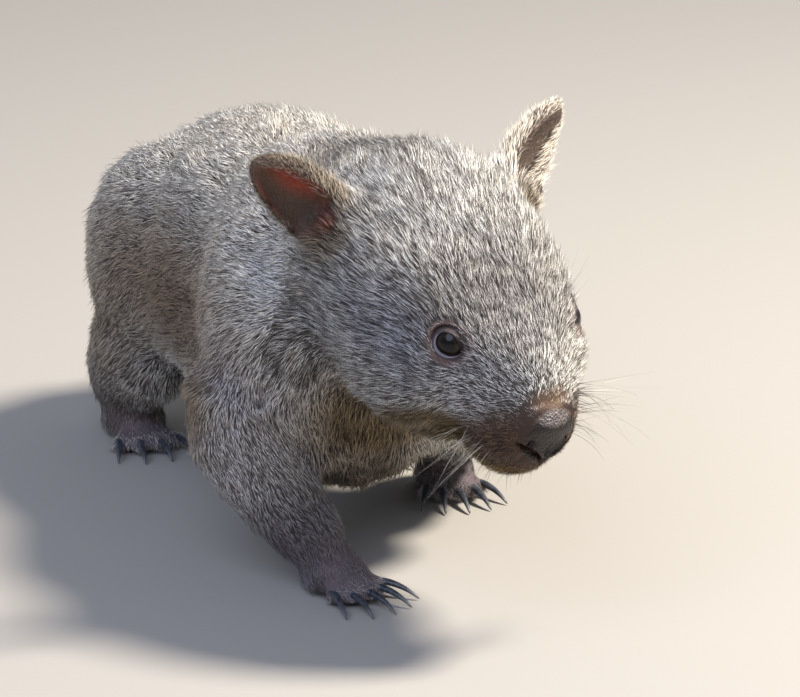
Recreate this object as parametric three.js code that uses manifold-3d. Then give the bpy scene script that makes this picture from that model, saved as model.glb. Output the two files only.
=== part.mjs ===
// A common wombat joey, walking, as a still model of life size.
// Millimetres, +X towards the head, +Y to the animal's left, +Z up, soles on z = 0.
// The outer faces are the tips of the coat; eyes, nose and claws are bare.
import * as THREE from "three";
import { LoftGeometry } from "three/addons/geometries/LoftGeometry.js";
import { mergeVertices } from "three/addons/utils/BufferGeometryUtils.js";
import Module from "manifold-3d";

const wasm = await Module();
wasm.setup();

const V = (x, y, z) => new THREE.Vector3(x, y, z);
const rad = THREE.MathUtils.degToRad;

// The thin cut between neighbours.
const GAP = 0.3;

// Head: its frame starts midway between the ears, x to the nose, y to the left ear.
const HEAD_ORIGIN = V(100, 3, 134);
const HEAD_YAW = rad(13.6);
const HEAD_PITCH = rad(20.1);
const HEAD_ROLL = rad(0.8);
const CRANIUM = { at: [8, 0, -5], size: [46, 44.5, 38] };
const BROW = { at: [33, 0, -2], size: [43, 40, 30] };
const BRIDGE = { at: [66, 0, -8], size: [26, 22, 21] };
const CHEEK = { at: [36, 22, -22], size: [34, 21, 24] };
const CHEEKBONE = { at: [60, 20.5, -13], size: [19, 14, 13] };
const MUZZLE = { at: [72, 0, -18], size: [22, 22, 14] };
const LIP = { at: [82, 7.5, -26.5], size: [14, 11.5, 9.5] };
const CHIN = { at: [74, 0, -37.5], size: [18.5, 14.5, 9] };
const THROAT = { at: [26, 0, -38], size: [38, 28, 24] };
const ORBIT = { at: [63, 18, 1.5], size: [9, 7.5, 8.5] };
const HEAD_BLEND = 9;

// Eyes: the ball and the round opening between the lids.
const EYE_RADIUS = 6.4;
const EYE_AT = [64.1, 22.1, 1.3];
const EYE_LOOKS = [0.55, 0.82, 0.12];
const LID_OPENING = { wide: 4.6, high: 4, flareOut: 1.5, flareIn: 0.9 };
const LID_RIM = { out: 5.6, thick: 0.9 };

// Nose pad, nostrils and mouth.
const NOSE = { at: [92.5, 0, -20.5], size: [8.6, 9.8, 8.8], facets: [18, 12] };
const NOSTRIL = { at: [98.6, 5.4, -22], size: [3, 1.3, 1.9], toe: rad(28) };
const MOUTH = { middle: -34, rise: 8, halfWidth: 15, back: 70, front: 112, gape: 1.3 };

// Ears: base, direction to the tip, direction the cup faces, half width and how round the tip is.
const EAR = { length: 39, depth: 7.5, wall: 2.2, root: 0.35, curl: 2, fold: 4.5 };
const EARS = {
  right: { base: [4, -37, 13], tip: [-0.32, -0.74, 0.6], faces: [0.95, -0.3, 0.05], wide: 13.5, round: 2.2 },
  left: { base: [5, 38.5, 11.5], tip: [-0.45, 0.68, 0.56], faces: [0.95, 0.12, 0.1], wide: 18, round: 1.4 },
};

// Trunk, from rump to neck.
const SPINE = [V(-112, 15, 82), V(-60, 6, 90), V(0, 0, 101), V(54, 0, 114)];
const SPINE_IN_HEAD = [V(5, 0, -8), V(35, 0, -12), V(62, 0, -17), V(80, 0, -21)];
// Headings of the rings along the spine, in equal steps: yaw to the left, pitch down.
const RING_YAW = [-11, -6, 1, 8, 13.6].map(rad);
const RING_PITCH = [-4, -8, -6, 6, 22].map(rad);
const RUMP = { at: [-92, 12, 82], size: [55, 50, 49] };
const BARREL = { at: [-25, 2, 84.5], size: [86, 54, 61.5] };
const CHEST = { at: [38, 0, 85], size: [54, 49, 65] };
const SHOULDER = { at: [58, 35, 88], size: [34, 24, 46] };
const HAUNCH = { at: [-90, 32, 76], size: [42, 26, 43] };
const NECK = { from: [40, 0, 110], to: [90, 3, 121], radii: [44, 37] };
const TRUNK_BLEND = 16;
const NECK_BACK = 0.63;
const NECK_FRONT = 0.72;

// Legs: middle line from inside the trunk down into the paw, with half widths on the way.
const LEGS = {
  foreleg_right: {
    line: [V(60, -30, 92), V(57, -46, 62), V(68, -38, 38), V(82, -27, 19), V(88, -21, 9)],
    wide: [14, 23, 19, 13, 10],
    deep: [20, 29, 22, 14, 9],
  },
  foreleg_left: {
    line: [V(50, 30, 92), V(32, 45, 62), V(11, 52, 38), V(-8, 56, 18), V(-7, 56, 9)],
    wide: [14, 22, 19, 14, 10],
    deep: [20, 28, 22, 14.5, 9],
  },
  hindleg_right: {
    line: [V(-92, -20, 80), V(-84, -32, 54), V(-106, -35, 32), V(-120, -34, 16), V(-112, -34, 8)],
    wide: [16, 24, 19, 14, 10],
    deep: [26, 33, 25, 15, 10],
  },
  hindleg_left: {
    line: [V(-80, 38, 80), V(-60, 50, 54), V(-71, 52, 32), V(-80, 52, 16), V(-72, 52, 8)],
    wide: [16, 24, 19, 14, 10],
    deep: [26, 33, 25, 15, 10],
  },
};

// Paws: place of the sole's middle, heading, and the sizes of pad, toes and claws.
const FOREPAW = {
  pad: { at: [-3, 0, 8], size: [15, 12.5, 9], facets: [12, 7] },
  toes: [-44, -21, 0, 21, 44],
  toeFrom: 7,
  toe: [8, 4.2, 4.8],
  claw: { length: 14, thick: 1.6, drop: 4.4 },
};
const HINDPAW = {
  pad: { at: [-4, 0, 8], size: [24, 13, 9.5], facets: [12, 7] },
  toes: [-28, -9, 10, 29],
  toeFrom: 14,
  toe: [9, 4.4, 5],
  claw: { length: 11, thick: 1.6, drop: 4.6 },
};
const PAWS = {
  forepaw_right: { at: V(91, -20, 0), heading: rad(20), kind: FOREPAW, leg: "foreleg_right", side: -1 },
  forepaw_left: { at: V(-4, 56, 0), heading: rad(-4), kind: FOREPAW, leg: "foreleg_left", side: 1 },
  hindpaw_right: { at: V(-106, -34, 0), heading: rad(-4), kind: HINDPAW, leg: "hindleg_right", side: -1 },
  hindpaw_left: { at: V(-66, 52, 0), heading: rad(8), kind: HINDPAW, leg: "hindleg_left", side: 1 },
};
const ANKLE_HEIGHT = 19;
const TOE_FLAT = 0.5;

// Tail: a short stub under the coat.
const TAIL = { at: [-144, 19, 74], size: [13, 9, 11] };

const LOOKS = {
  coat: { color: 0x9a8f86, roughness: 0.95 },
  face: { color: 0xa39a93, roughness: 0.95 },
  ear: { color: 0x9b8279, roughness: 0.9 },
  nose: { color: 0x6f6560, roughness: 0.6 },
  eye: { color: 0x14141a, roughness: 0.08 },
  leg: { color: 0x8c7d70, roughness: 0.95 },
  paw: { color: 0x6d5852, roughness: 0.8 },
  claw: { color: 0x5b606c, roughness: 0.45 },
};

const UNIT = V(1, 1, 1);
const turned = (euler) => new THREE.Quaternion().setFromEuler(euler);
const headFrame = new THREE.Matrix4().compose(
  HEAD_ORIGIN,
  turned(new THREE.Euler(HEAD_ROLL, HEAD_PITCH, HEAD_YAW, "ZYX")),
  UNIT,
);
const intoHead = headFrame.clone().invert();

// Signed distance from an ellipsoid, negative inside.
function ellipsoid({ at, size }) {
  const smallest = -Math.min(...size);
  return (x, y, z) => {
    const p = [x - at[0], y - at[1], z - at[2]];
    const near = Math.hypot(p[0] / size[0], p[1] / size[1], p[2] / size[2]);
    const slope = Math.hypot(p[0] / size[0] ** 2, p[1] / size[1] ** 2, p[2] / size[2] ** 2);
    return slope < 1e-9 ? smallest : (near * (near - 1)) / slope;
  };
}

// Signed distance from a rod whose radius changes from one end to the other.
function taperedRod({ from, to, radii }) {
  const axis = to.map((value, i) => value - from[i]);
  const lengthSquared = axis.reduce((sum, value) => sum + value * value, 0);
  return (x, y, z) => {
    const p = [x - from[0], y - from[1], z - from[2]];
    const along = (p[0] * axis[0] + p[1] * axis[1] + p[2] * axis[2]) / lengthSquared;
    const t = THREE.MathUtils.clamp(along, 0, 1);
    const radius = THREE.MathUtils.lerp(radii[0], radii[1], t);
    return Math.hypot(p[0] - axis[0] * t, p[1] - axis[1] * t, p[2] - axis[2] * t) - radius;
  };
}

function mirrored(piece) {
  return { ...piece, at: [piece.at[0], -piece.at[1], piece.at[2]] };
}

// The smaller of two distances, rounded where they are alike.
function blend(a, b, reach) {
  const h = Math.max(reach - Math.abs(a - b), 0) / reach;
  return Math.min(a, b) - (h * h * reach) / 4;
}

const headPieces = [
  CRANIUM,
  BROW,
  BRIDGE,
  CHEEK,
  mirrored(CHEEK),
  CHEEKBONE,
  mirrored(CHEEKBONE),
  MUZZLE,
  LIP,
  mirrored(LIP),
  CHIN,
  THROAT,
  ORBIT,
  mirrored(ORBIT),
].map(ellipsoid);

const trunkPieces = [RUMP, BARREL, CHEST, SHOULDER, mirrored(SHOULDER), HAUNCH, mirrored(HAUNCH)]
  .map(ellipsoid)
  .concat(taperedRod(NECK));

function blended(pieces, { x, y, z }, reach) {
  const FAR_OFF = 1e3;
  return pieces.reduce((sum, piece) => blend(sum, piece(x, y, z), reach), FAR_OFF);
}

// The distance from the animal's outer form, negative inside it.
function flesh(point) {
  const head = blended(headPieces, point.clone().applyMatrix4(intoHead), HEAD_BLEND);
  const trunk = blended(trunkPieces, point, TRUNK_BLEND);
  return blend(head, trunk, TRUNK_BLEND);
}

// The first place, going out from a centre, where the flesh ends.
function surfaceAlong(centre, direction, grow) {
  const STEP = 3;
  const FARTHEST = 150;
  const at = (distance) => centre.clone().addScaledVector(direction, distance);
  let inside = 0;
  let outside = STEP;
  while (flesh(at(outside)) < grow && outside < FARTHEST) {
    inside = outside;
    outside += STEP;
  }
  for (let i = 0; i < 12; i += 1) {
    const middle = (inside + outside) / 2;
    if (flesh(at(middle)) < grow) inside = middle;
    else outside = middle;
  }
  return at(inside);
}

// A ring of surface points about an axis, leaning towards it by a tilt.
function ringOf(centre, axis, tilt, around, grow) {
  const side = V(0, 0, 1).cross(axis).normalize();
  const up = axis.clone().cross(side);
  return Array.from({ length: around }, (_, i) => {
    const angle = (2 * Math.PI * i) / around;
    const out = side.clone().multiplyScalar(Math.cos(angle)).addScaledVector(up, Math.sin(angle));
    const direction = out.multiplyScalar(Math.cos(tilt)).addScaledVector(axis, Math.sin(tilt));
    return surfaceAlong(centre, direction.normalize(), grow);
  });
}

function solid(geometry, matrix = new THREE.Matrix4()) {
  const bare = new THREE.BufferGeometry().copy(geometry).applyMatrix4(matrix);
  bare.deleteAttribute("normal");
  bare.deleteAttribute("uv");
  const merged = mergeVertices(bare, 1e-4);
  return new wasm.Manifold(
    new wasm.Mesh({
      numProp: 3,
      vertProperties: new Float32Array(merged.attributes.position.array),
      triVerts: new Uint32Array(merged.index.array),
    }),
  );
}

function loft(rings, matrix) {
  return solid(new LoftGeometry(rings, { closed: true, capStart: true, capEnd: true }), matrix);
}

function largest(manifold) {
  return manifold.decompose().sort((a, b) => b.volume() - a.volume())[0];
}

function box(from, to) {
  const size = to.clone().sub(from);
  const middle = from.clone().add(to).multiplyScalar(0.5);
  return solid(new THREE.BoxGeometry(...size), new THREE.Matrix4().setPosition(middle));
}

function ball({ at, size, heading = 0, facets = [14, 9] }, matrix = new THREE.Matrix4()) {
  const own = new THREE.Matrix4().compose(V(...at), turned(new THREE.Euler(0, 0, heading)), V(...size));
  return solid(new THREE.SphereGeometry(1, ...facets), own.premultiply(matrix));
}

const bodyCurve = new THREE.CatmullRomCurve3(
  SPINE.concat(SPINE_IN_HEAD.map((point) => point.clone().applyMatrix4(headFrame))),
  false,
  "centripetal",
);

function ringAxis(t) {
  const yaw = between(RING_YAW, t);
  const pitch = between(RING_PITCH, t);
  return V(Math.cos(yaw) * Math.cos(pitch), Math.sin(yaw) * Math.cos(pitch), -Math.sin(pitch));
}

// A length of the body between two places on its curve, with a rounded end where asked.
// A grown length, for cutting a neighbour, has the same rings and runs on past its cuts.
function bodyLength({ from, to, rings, around, roundStart = 0, roundEnd = 0, grow = 0 }) {
  const RUN_ON = 0.04;
  const FULL_TILT = rad(80);
  const sections = [];
  const ringAt = (t, tilt) => ringOf(bodyCurve.getPointAt(t), ringAxis(t), tilt, around, grow);
  for (let i = 0; i < roundStart; i += 1) sections.push(ringAt(from, FULL_TILT * (i / roundStart - 1)));
  if (grow > 0 && roundStart === 0) sections.push(ringAt(from - RUN_ON, 0));
  for (let i = 0; i < rings; i += 1) sections.push(ringAt(from + ((to - from) * i) / (rings - 1), 0));
  if (grow > 0 && roundEnd === 0) sections.push(ringAt(to + RUN_ON, 0));
  for (let i = 1; i <= roundEnd; i += 1) sections.push(ringAt(to, (FULL_TILT * i) / roundEnd));
  return loft(sections);
}

function between(values, t) {
  const place = t * (values.length - 1);
  const i = Math.min(Math.floor(place), values.length - 2);
  return THREE.MathUtils.lerp(values[i], values[i + 1], place - i);
}

// An oval ring about a point of a curve; wide is across the body, deep along it.
function ovalRing(centre, axis, wide, deep, around, across = V(0, 1, 0)) {
  const fore = across.clone().cross(axis).normalize();
  const side = axis.clone().cross(fore);
  return Array.from({ length: around }, (_, i) => {
    const angle = (2 * Math.PI * i) / around;
    const reach = side.clone().multiplyScalar(wide * Math.sin(angle));
    return reach.addScaledVector(fore, deep * Math.cos(angle)).add(centre);
  });
}

function legSolid({ line, wide, deep }) {
  const RINGS = 10;
  const AROUND = 16;
  const curve = new THREE.CatmullRomCurve3(line, false, "centripetal");
  const rings = Array.from({ length: RINGS }, (_, i) => {
    const t = i / (RINGS - 1);
    return ovalRing(curve.getPoint(t), curve.getTangent(t), between(wide, t), between(deep, t), AROUND);
  });
  return loft(rings);
}

// A claw from inside its toe, bent down to just over the floor.
function clawSolid({ length, thick, drop }, start, angle, matrix, grow) {
  const RINGS = 5;
  const AROUND = 7;
  const ROOT = 3;
  const TIP = 0.4;
  const out = V(Math.cos(angle), Math.sin(angle), 0);
  const curve = new THREE.QuadraticBezierCurve3(
    start.clone().addScaledVector(out, -ROOT - grow),
    start.clone().addScaledVector(out, length * 0.5).add(V(0, 0, 0.6)),
    start.clone().addScaledVector(out, length).add(V(0, 0, -drop)),
  );
  const across = V(-Math.sin(angle), Math.cos(angle), 0);
  const rings = Array.from({ length: RINGS }, (_, i) => {
    const t = i / (RINGS - 1);
    const half = THREE.MathUtils.lerp(thick, TIP, t ** 1.6) + grow;
    return ovalRing(curve.getPoint(t), curve.getTangent(t), half, half * 0.8, AROUND, across);
  });
  return loft(rings, matrix);
}

const root = new THREE.Group();
root.name = "wombat_joey";
const headGroup = new THREE.Group();
headGroup.name = "head_frame";
headGroup.position.copy(HEAD_ORIGIN);
headGroup.rotation.set(HEAD_ROLL, HEAD_PITCH, HEAD_YAW, "ZYX");
root.add(headGroup);
root.updateMatrixWorld(true);

function addMesh(group, name, geometry, look) {
  const mesh = new THREE.Mesh(geometry, new THREE.MeshStandardMaterial({ ...look, metalness: 0 }));
  mesh.name = name;
  group.add(mesh);
  return mesh;
}

// Adds a solid made in the whole animal's frame to a group, in that group's own frame.
function addSolid(group, name, manifold, look) {
  const mesh = largest(manifold).getMesh();
  const geometry = new THREE.BufferGeometry();
  geometry.setAttribute("position", new THREE.BufferAttribute(new Float32Array(mesh.vertProperties), 3));
  geometry.setIndex(new THREE.BufferAttribute(new Uint32Array(mesh.triVerts), 1));
  geometry.applyMatrix4(group.matrixWorld.clone().invert());
  geometry.computeVertexNormals();
  return addMesh(group, name, geometry, look);
}

const TRUNK_LENGTH = { from: 0, rings: 14, around: 32, roundStart: 5 };
const NECK_LENGTH = { to: NECK_FRONT, rings: 4, around: 36 };
const HEAD_LENGTH = { to: 1, rings: 17, around: 36, roundEnd: 6 };
const cutShare = GAP / bodyCurve.getLength();
const torso = bodyLength({ ...TRUNK_LENGTH, to: NECK_BACK });
const torsoGrown = bodyLength({ ...TRUNK_LENGTH, to: NECK_BACK, grow: GAP });
const neck = bodyLength({ ...NECK_LENGTH, from: NECK_BACK + cutShare });
const neckGrown = bodyLength({ ...NECK_LENGTH, from: NECK_BACK + cutShare, grow: GAP });
const head = bodyLength({ ...HEAD_LENGTH, from: NECK_FRONT + cutShare });
const headGrown = bodyLength({ ...HEAD_LENGTH, from: NECK_FRONT + cutShare, grow: GAP });

addSolid(root, "torso", torso, LOOKS.coat);
addSolid(root, "neck", neck, LOOKS.coat);

// Eyes, their sockets, the lid openings and the lids' rims.
function lookFrame(side) {
  const looks = V(EYE_LOOKS[0], EYE_LOOKS[1] * side, EYE_LOOKS[2]).normalize();
  const turn = new THREE.Quaternion().setFromUnitVectors(V(0, 0, 1), looks);
  const place = V(EYE_AT[0], EYE_AT[1] * side, EYE_AT[2]);
  return new THREE.Matrix4().compose(place, turn, UNIT).premultiply(headFrame);
}

function nostrilSolid(side) {
  const at = [NOSTRIL.at[0], NOSTRIL.at[1] * side, NOSTRIL.at[2]];
  return ball({ at, size: NOSTRIL.size, heading: NOSTRIL.toe * side, facets: [10, 6] }, headFrame);
}

// The slot between the lips: low in the middle, rising to the corners.
function mouthSolid() {
  const POINTS = 12;
  const height = (y) => MOUTH.middle + MOUTH.rise * (Math.abs(y) / MOUTH.halfWidth) ** 1.2;
  const edge = Array.from({ length: POINTS + 1 }, (_, i) => MOUTH.halfWidth * ((2 * i) / POINTS - 1));
  const thick = (y) => (MOUTH.gape / 2) * (1 - 0.4 * Math.abs(y / MOUTH.halfWidth));
  const below = edge.map((y) => new THREE.Vector2(y, height(y) - thick(y)));
  const above = edge.map((y) => new THREE.Vector2(y, height(y) + thick(y))).reverse();
  const shape = new THREE.Shape(below.concat(above));
  const blade = new THREE.ExtrudeGeometry(shape, { depth: MOUTH.front - MOUTH.back, bevelEnabled: false });
  const stand = new THREE.Matrix4().makeBasis(V(0, 1, 0), V(0, 0, 1), V(1, 0, 0));
  stand.setPosition(MOUTH.back, 0, 0);
  return solid(blade, stand.premultiply(headFrame));
}

let faced = head.subtract(mouthSolid());
for (const [name, side] of [["right", -1], ["left", 1]]) {
  const frame = lookFrame(side);
  const rim = new THREE.TorusGeometry(1, LID_RIM.thick / LID_OPENING.wide, 6, 18);
  const rimFrame = new THREE.Matrix4().compose(
    V(0, 0, LID_RIM.out),
    new THREE.Quaternion(),
    V(LID_OPENING.wide + LID_RIM.thick, LID_OPENING.high + LID_RIM.thick, LID_OPENING.wide),
  );
  const { flareOut, flareIn } = LID_OPENING;
  const opening = new THREE.CylinderGeometry(flareOut, flareIn, 2 * EYE_RADIUS, 18);
  const openingFrame = new THREE.Matrix4().compose(
    V(0, 0, 1.5 * EYE_RADIUS),
    turned(new THREE.Euler(Math.PI / 2, 0, 0)),
    V(LID_OPENING.wide, 1, LID_OPENING.high),
  );
  const radius = EYE_RADIUS + GAP;
  const socket = ball({ at: [0, 0, 0], size: [radius, radius, radius], facets: [16, 10] }, frame);
  faced = faced
    .subtract(solid(opening, openingFrame.premultiply(frame)))
    .add(solid(rim, rimFrame.premultiply(frame)))
    .subtract(socket);
  const eye = addMesh(headGroup, `eye_${name}`, new THREE.SphereGeometry(EYE_RADIUS, 18, 12), LOOKS.eye);
  eye.position.set(EYE_AT[0], EYE_AT[1] * side, EYE_AT[2]);
}

const nose = ball(NOSE, headFrame);
const noseSocket = ball({ ...NOSE, size: NOSE.size.map((half) => half + GAP) }, headFrame);
addSolid(headGroup, "nose", nose.subtract(nostrilSolid(-1)).subtract(nostrilSolid(1)), LOOKS.nose);
addSolid(headGroup, "head", faced.subtract(noseSocket), LOOKS.face);

// An ear is a leaf-shaped solid with a cup hollowed from the side it faces. The edge of the cup
// nearer to the crown is folded, so it is the broader one.
function earSolid({ base, tip, faces, wide, round }) {
  const RINGS = 10;
  const AROUND = 18;
  const axis = V(...tip).normalize();
  const fore = V(...faces).addScaledVector(axis, -V(...faces).dot(axis)).normalize();
  const across = axis.clone().cross(fore);
  const start = V(...base);
  const leaf = (origin, widthOf, depthOf, shiftOf, from, to) =>
    loft(
      Array.from({ length: RINGS }, (_, i) => {
        const closer = 1 - (1 - i / (RINGS - 1)) ** 1.5;
        const t = THREE.MathUtils.lerp(from, to, closer);
        const centre = origin.clone().addScaledVector(axis, t * EAR.length).addScaledVector(fore, shiftOf(t));
        return ovalRing(centre, axis, widthOf(t), depthOf(t), AROUND, across);
      }),
      headFrame,
    );
  const taper = (t) => Math.sqrt(Math.max(1 - Math.max(t, 0) ** round, 0.004));
  const width = (t) => wide * (1 - 0.08 * t) * taper(t);
  const depth = (t) => EAR.depth * (1 - 0.45 * t) * taper(t);
  const curl = (t) => -EAR.curl * Math.sin(Math.PI * Math.max(t, 0));
  const outer = leaf(start, width, depth, curl, -EAR.root, 1);
  const inner = leaf(
    start.clone().addScaledVector(across, (Math.sign(base[1]) * EAR.fold) / 2),
    (t) => Math.max(width(t) - EAR.wall - EAR.fold / 2, 0.3),
    (t) => Math.max(depth(t) * 1.1, 0.3),
    (t) => curl(t) + EAR.wall + depth(t) * 0.35,
    0.12,
    0.9,
  );
  return outer.subtract(inner);
}

for (const [name, ear] of Object.entries(EARS)) {
  addSolid(headGroup, `ear_${name}`, earSolid(ear).subtract(headGrown), LOOKS.ear);
}

addSolid(root, "tail", ball(TAIL).subtract(torsoGrown), LOOKS.coat);

// Each leg with its paw is one form, parted at the ankle; claws sit in sockets of the toes.
const FAR = 400;
const aboveAnkle = box(V(-FAR, -FAR, ANKLE_HEIGHT + GAP / 2), V(FAR, FAR, FAR));
const belowAnkle = box(V(-FAR, -FAR, 0), V(FAR, FAR, ANKLE_HEIGHT - GAP / 2));
for (const [name, paw] of Object.entries(PAWS)) {
  const { kind, side } = paw;
  const frame = new THREE.Matrix4().makeRotationZ(paw.heading).setPosition(paw.at);
  let whole = legSolid(LEGS[paw.leg]).add(ball(kind.pad, frame));
  const [toeLength, , toeHeight] = kind.toe;
  const toeAngles = kind.toes.map(rad);
  const ahead = (angle, far, height) => V(Math.cos(angle) * far, Math.sin(angle) * far, height);
  const toeEnds = toeAngles.map((angle) => {
    const far = kind.toeFrom + toeLength * 0.6 * Math.cos(angle);
    return ahead(angle, far, toeHeight - TOE_FLAT);
  });
  toeEnds.forEach((end, i) => {
    const toe = { at: end.toArray(), size: kind.toe, heading: toeAngles[i], facets: [8, 5] };
    whole = whole.add(ball(toe, frame));
  });
  let sole = largest(whole.intersect(belowAnkle));
  const clawsStart = toeEnds.map((end, i) => end.clone().add(ahead(toeAngles[i], toeLength - 2, 0.6)));
  clawsStart.forEach((start, i) => {
    const angle = toeAngles[i] * 0.5;
    sole = sole.subtract(clawSolid(kind.claw, start, angle, frame, GAP));
    const number = side < 0 ? i + 1 : clawsStart.length - i;
    addSolid(root, `claw_${name}_${number}`, clawSolid(kind.claw, start, angle, frame, 0), LOOKS.claw);
  });
  addSolid(root, name, sole, LOOKS.paw);
  addSolid(root, paw.leg, whole.intersect(aboveAnkle).subtract(torsoGrown).subtract(neckGrown), LOOKS.leg);
}

// The origin is on the floor, below the middle of the animal's box.
root.updateMatrixWorld(true);
const bounds = new THREE.Box3().setFromObject(root, true);
const middle = bounds.getCenter(V(0, 0, 0));
root.position.set(-middle.x, -middle.y, -bounds.min.z);

export default root;
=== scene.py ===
# %% [markdown]
# # A young wombat at life size
# The finished model is a walking wombat joey, as a museum would show it. The frame holds plain solids whose
# outer faces are the tips of the coat. This lesson puts one skin inside them, shapes the lids, nose and
# mouth, grows the coat hair by hair, and finishes the eyes, claws and whiskers.

# %% Load the fixed frame
import math

import bmesh
import bpy
import numpy as np
from mathutils import Matrix, Vector


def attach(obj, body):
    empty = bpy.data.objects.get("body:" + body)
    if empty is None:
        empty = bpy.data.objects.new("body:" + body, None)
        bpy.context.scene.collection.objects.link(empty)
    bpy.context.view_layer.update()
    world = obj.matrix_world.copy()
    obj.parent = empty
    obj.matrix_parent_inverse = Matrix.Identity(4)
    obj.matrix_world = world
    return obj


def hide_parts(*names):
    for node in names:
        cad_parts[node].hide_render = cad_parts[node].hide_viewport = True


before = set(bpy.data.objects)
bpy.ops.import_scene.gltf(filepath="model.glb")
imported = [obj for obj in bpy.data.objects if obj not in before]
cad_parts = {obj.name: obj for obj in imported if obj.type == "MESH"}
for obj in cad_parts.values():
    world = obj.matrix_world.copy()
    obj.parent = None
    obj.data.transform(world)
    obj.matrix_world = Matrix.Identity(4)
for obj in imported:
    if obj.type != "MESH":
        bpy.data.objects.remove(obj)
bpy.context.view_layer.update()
MM = 0.001
print("the frame has", len(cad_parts), "nodes")

# %% [markdown]
# ## Two frames to measure in
# Places on the trunk and legs are millimetres in the animal's own axes, x to the head, y to its left, z up.
# Places on the face are easier in the head's axes, which are turned to the left and pitched down. Keeping
# the head as a matrix lets one row of a table serve both sides of the face.

# %% Frames of the body and head
BODY_ORIGIN = Vector((-14.702, -3.495, 0))
HEAD_ORIGIN = Vector((100, 3, 134))
HEAD_TURN = [math.radians(angle) for angle in (0.8, 20.1, 13.6)]
body_frame = Matrix.Scale(MM, 4) @ Matrix.Translation(BODY_ORIGIN)
roll, pitch, yaw = (Matrix.Rotation(angle, 4, axis) for angle, axis in zip(HEAD_TURN, "XYZ"))
head_frame = body_frame @ Matrix.Translation(HEAD_ORIGIN) @ yaw @ pitch @ roll
# the sign of y on each side of the animal
SIDES = {"right": -1, "left": 1}


def unit(vectors):
    """Vectors of length one, row by row."""
    return vectors / np.maximum(np.linalg.norm(vectors, axis=-1, keepdims=True), 1e-9)


def carried(matrix, points):
    """Points of an array moved by a matrix."""
    grid = np.array(matrix)
    return np.asarray(points, float) @ grid[:3, :3].T + grid[:3, 3]


def mirrored(place, sign):
    """A place or a direction with its y times a sign."""
    return place[0], place[1] * sign, place[2]


def level(angle):
    """A level direction, at an angle in radians from x towards y."""
    return Vector((math.cos(angle), math.sin(angle), 0))


def step(low, high, value):
    """A smooth step from 0 at low to 1 at high."""
    share = np.clip((value - low) / (high - low), 0, 1)
    return share * share * (3 - 2 * share)


print("the head's axes stand at", [round(value, 4) for value in head_frame.translation])

# %% [markdown]
# ## What grows where
# A coat changes all over an animal: long on the rump, velvet on the muzzle, downward on the legs. One table
# holds this. Each row is a place, how far it reaches, how deep the skin lies under the coat's tips, the
# hair's length and width, how steeply it stands, how many hairs grow on a square millimetre, and which way
# they lie. Everywhere between the rows the values are blended.

# %% The table of the coat
# place, reach, depth, length, width, lift, per square mm, lie
HEAD_ROWS = [
    ((97, 0, -20), 6, 0.2, 0.5, 0.2, 10, 0.0, (-1, 0, 0.3)),
    ((88, 0, -6), 6, 0.6, 2.6, 0.23, 14, 5.5, (-1, 0, 0.3)),
    ((94, 0, -34), 5, 0.3, 1.7, 0.2, 16, 4.2, (-1, 0, -0.3)),
    ((79, 0, 3), 9, 1.1, 4.0, 0.26, 18, 5.2, (-1, 0, 0.2)),
    ((62, 0, 14), 12, 1.7, 5.0, 0.28, 20, 4.6, (-1, 0, 0.15)),
    ((36, 0, 27), 17, 2.2, 5.8, 0.3, 22, 4.2, (-1, 0, 0.1)),
    ((6, 0, 32), 20, 2.7, 6.4, 0.32, 23, 3.7, (-1, 0, 0)),
    ((78, 0, -46), 9, 1.1, 4.2, 0.25, 26, 4.4, (-1, 0, -0.35)),
    ((44, 0, -56), 16, 2.8, 6.0, 0.36, 20, 2.6, (-1, 0, -0.2)),
]
CHEEK_ROWS = [
    ((86, 15, -18), 6, 0.6, 2.7, 0.22, 15, 5.0, (-1, 0.15, -0.1)),
    ((86, 13, -36), 6, 0.7, 3.0, 0.22, 20, 4.5, (-1, 0.1, -0.3)),
    ((70, 28, -19), 9, 1.2, 4.0, 0.25, 20, 4.8, (-1, 0.15, -0.15)),
    ((66, 27, 1), 6, 0.7, 2.3, 0.23, 15, 4.4, (-1, 0.2, -0.1)),
    ((54, 31, 13), 10, 1.5, 4.8, 0.28, 21, 4.4, (-1, 0.1, 0.1)),
    ((40, 42, -16), 16, 2.4, 6.2, 0.3, 17, 3.9, (-1, 0, -0.12)),
    ((54, 30, -42), 14, 2.2, 5.6, 0.29, 18, 3.6, (-1, 0, -0.25)),
    ((20, 42, 14), 15, 2.2, 5.8, 0.31, 19, 3.8, (-1, 0.1, 0.2)),
    ((8, 46, -30), 18, 3.0, 7.0, 0.36, 18, 2.6, (-1, 0, -0.12)),
    ((9, 39, 7), 6, 1.6, 7.5, 0.32, 32, 3.6, (-0.7, 0.55, 0.6)),
]
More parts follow.
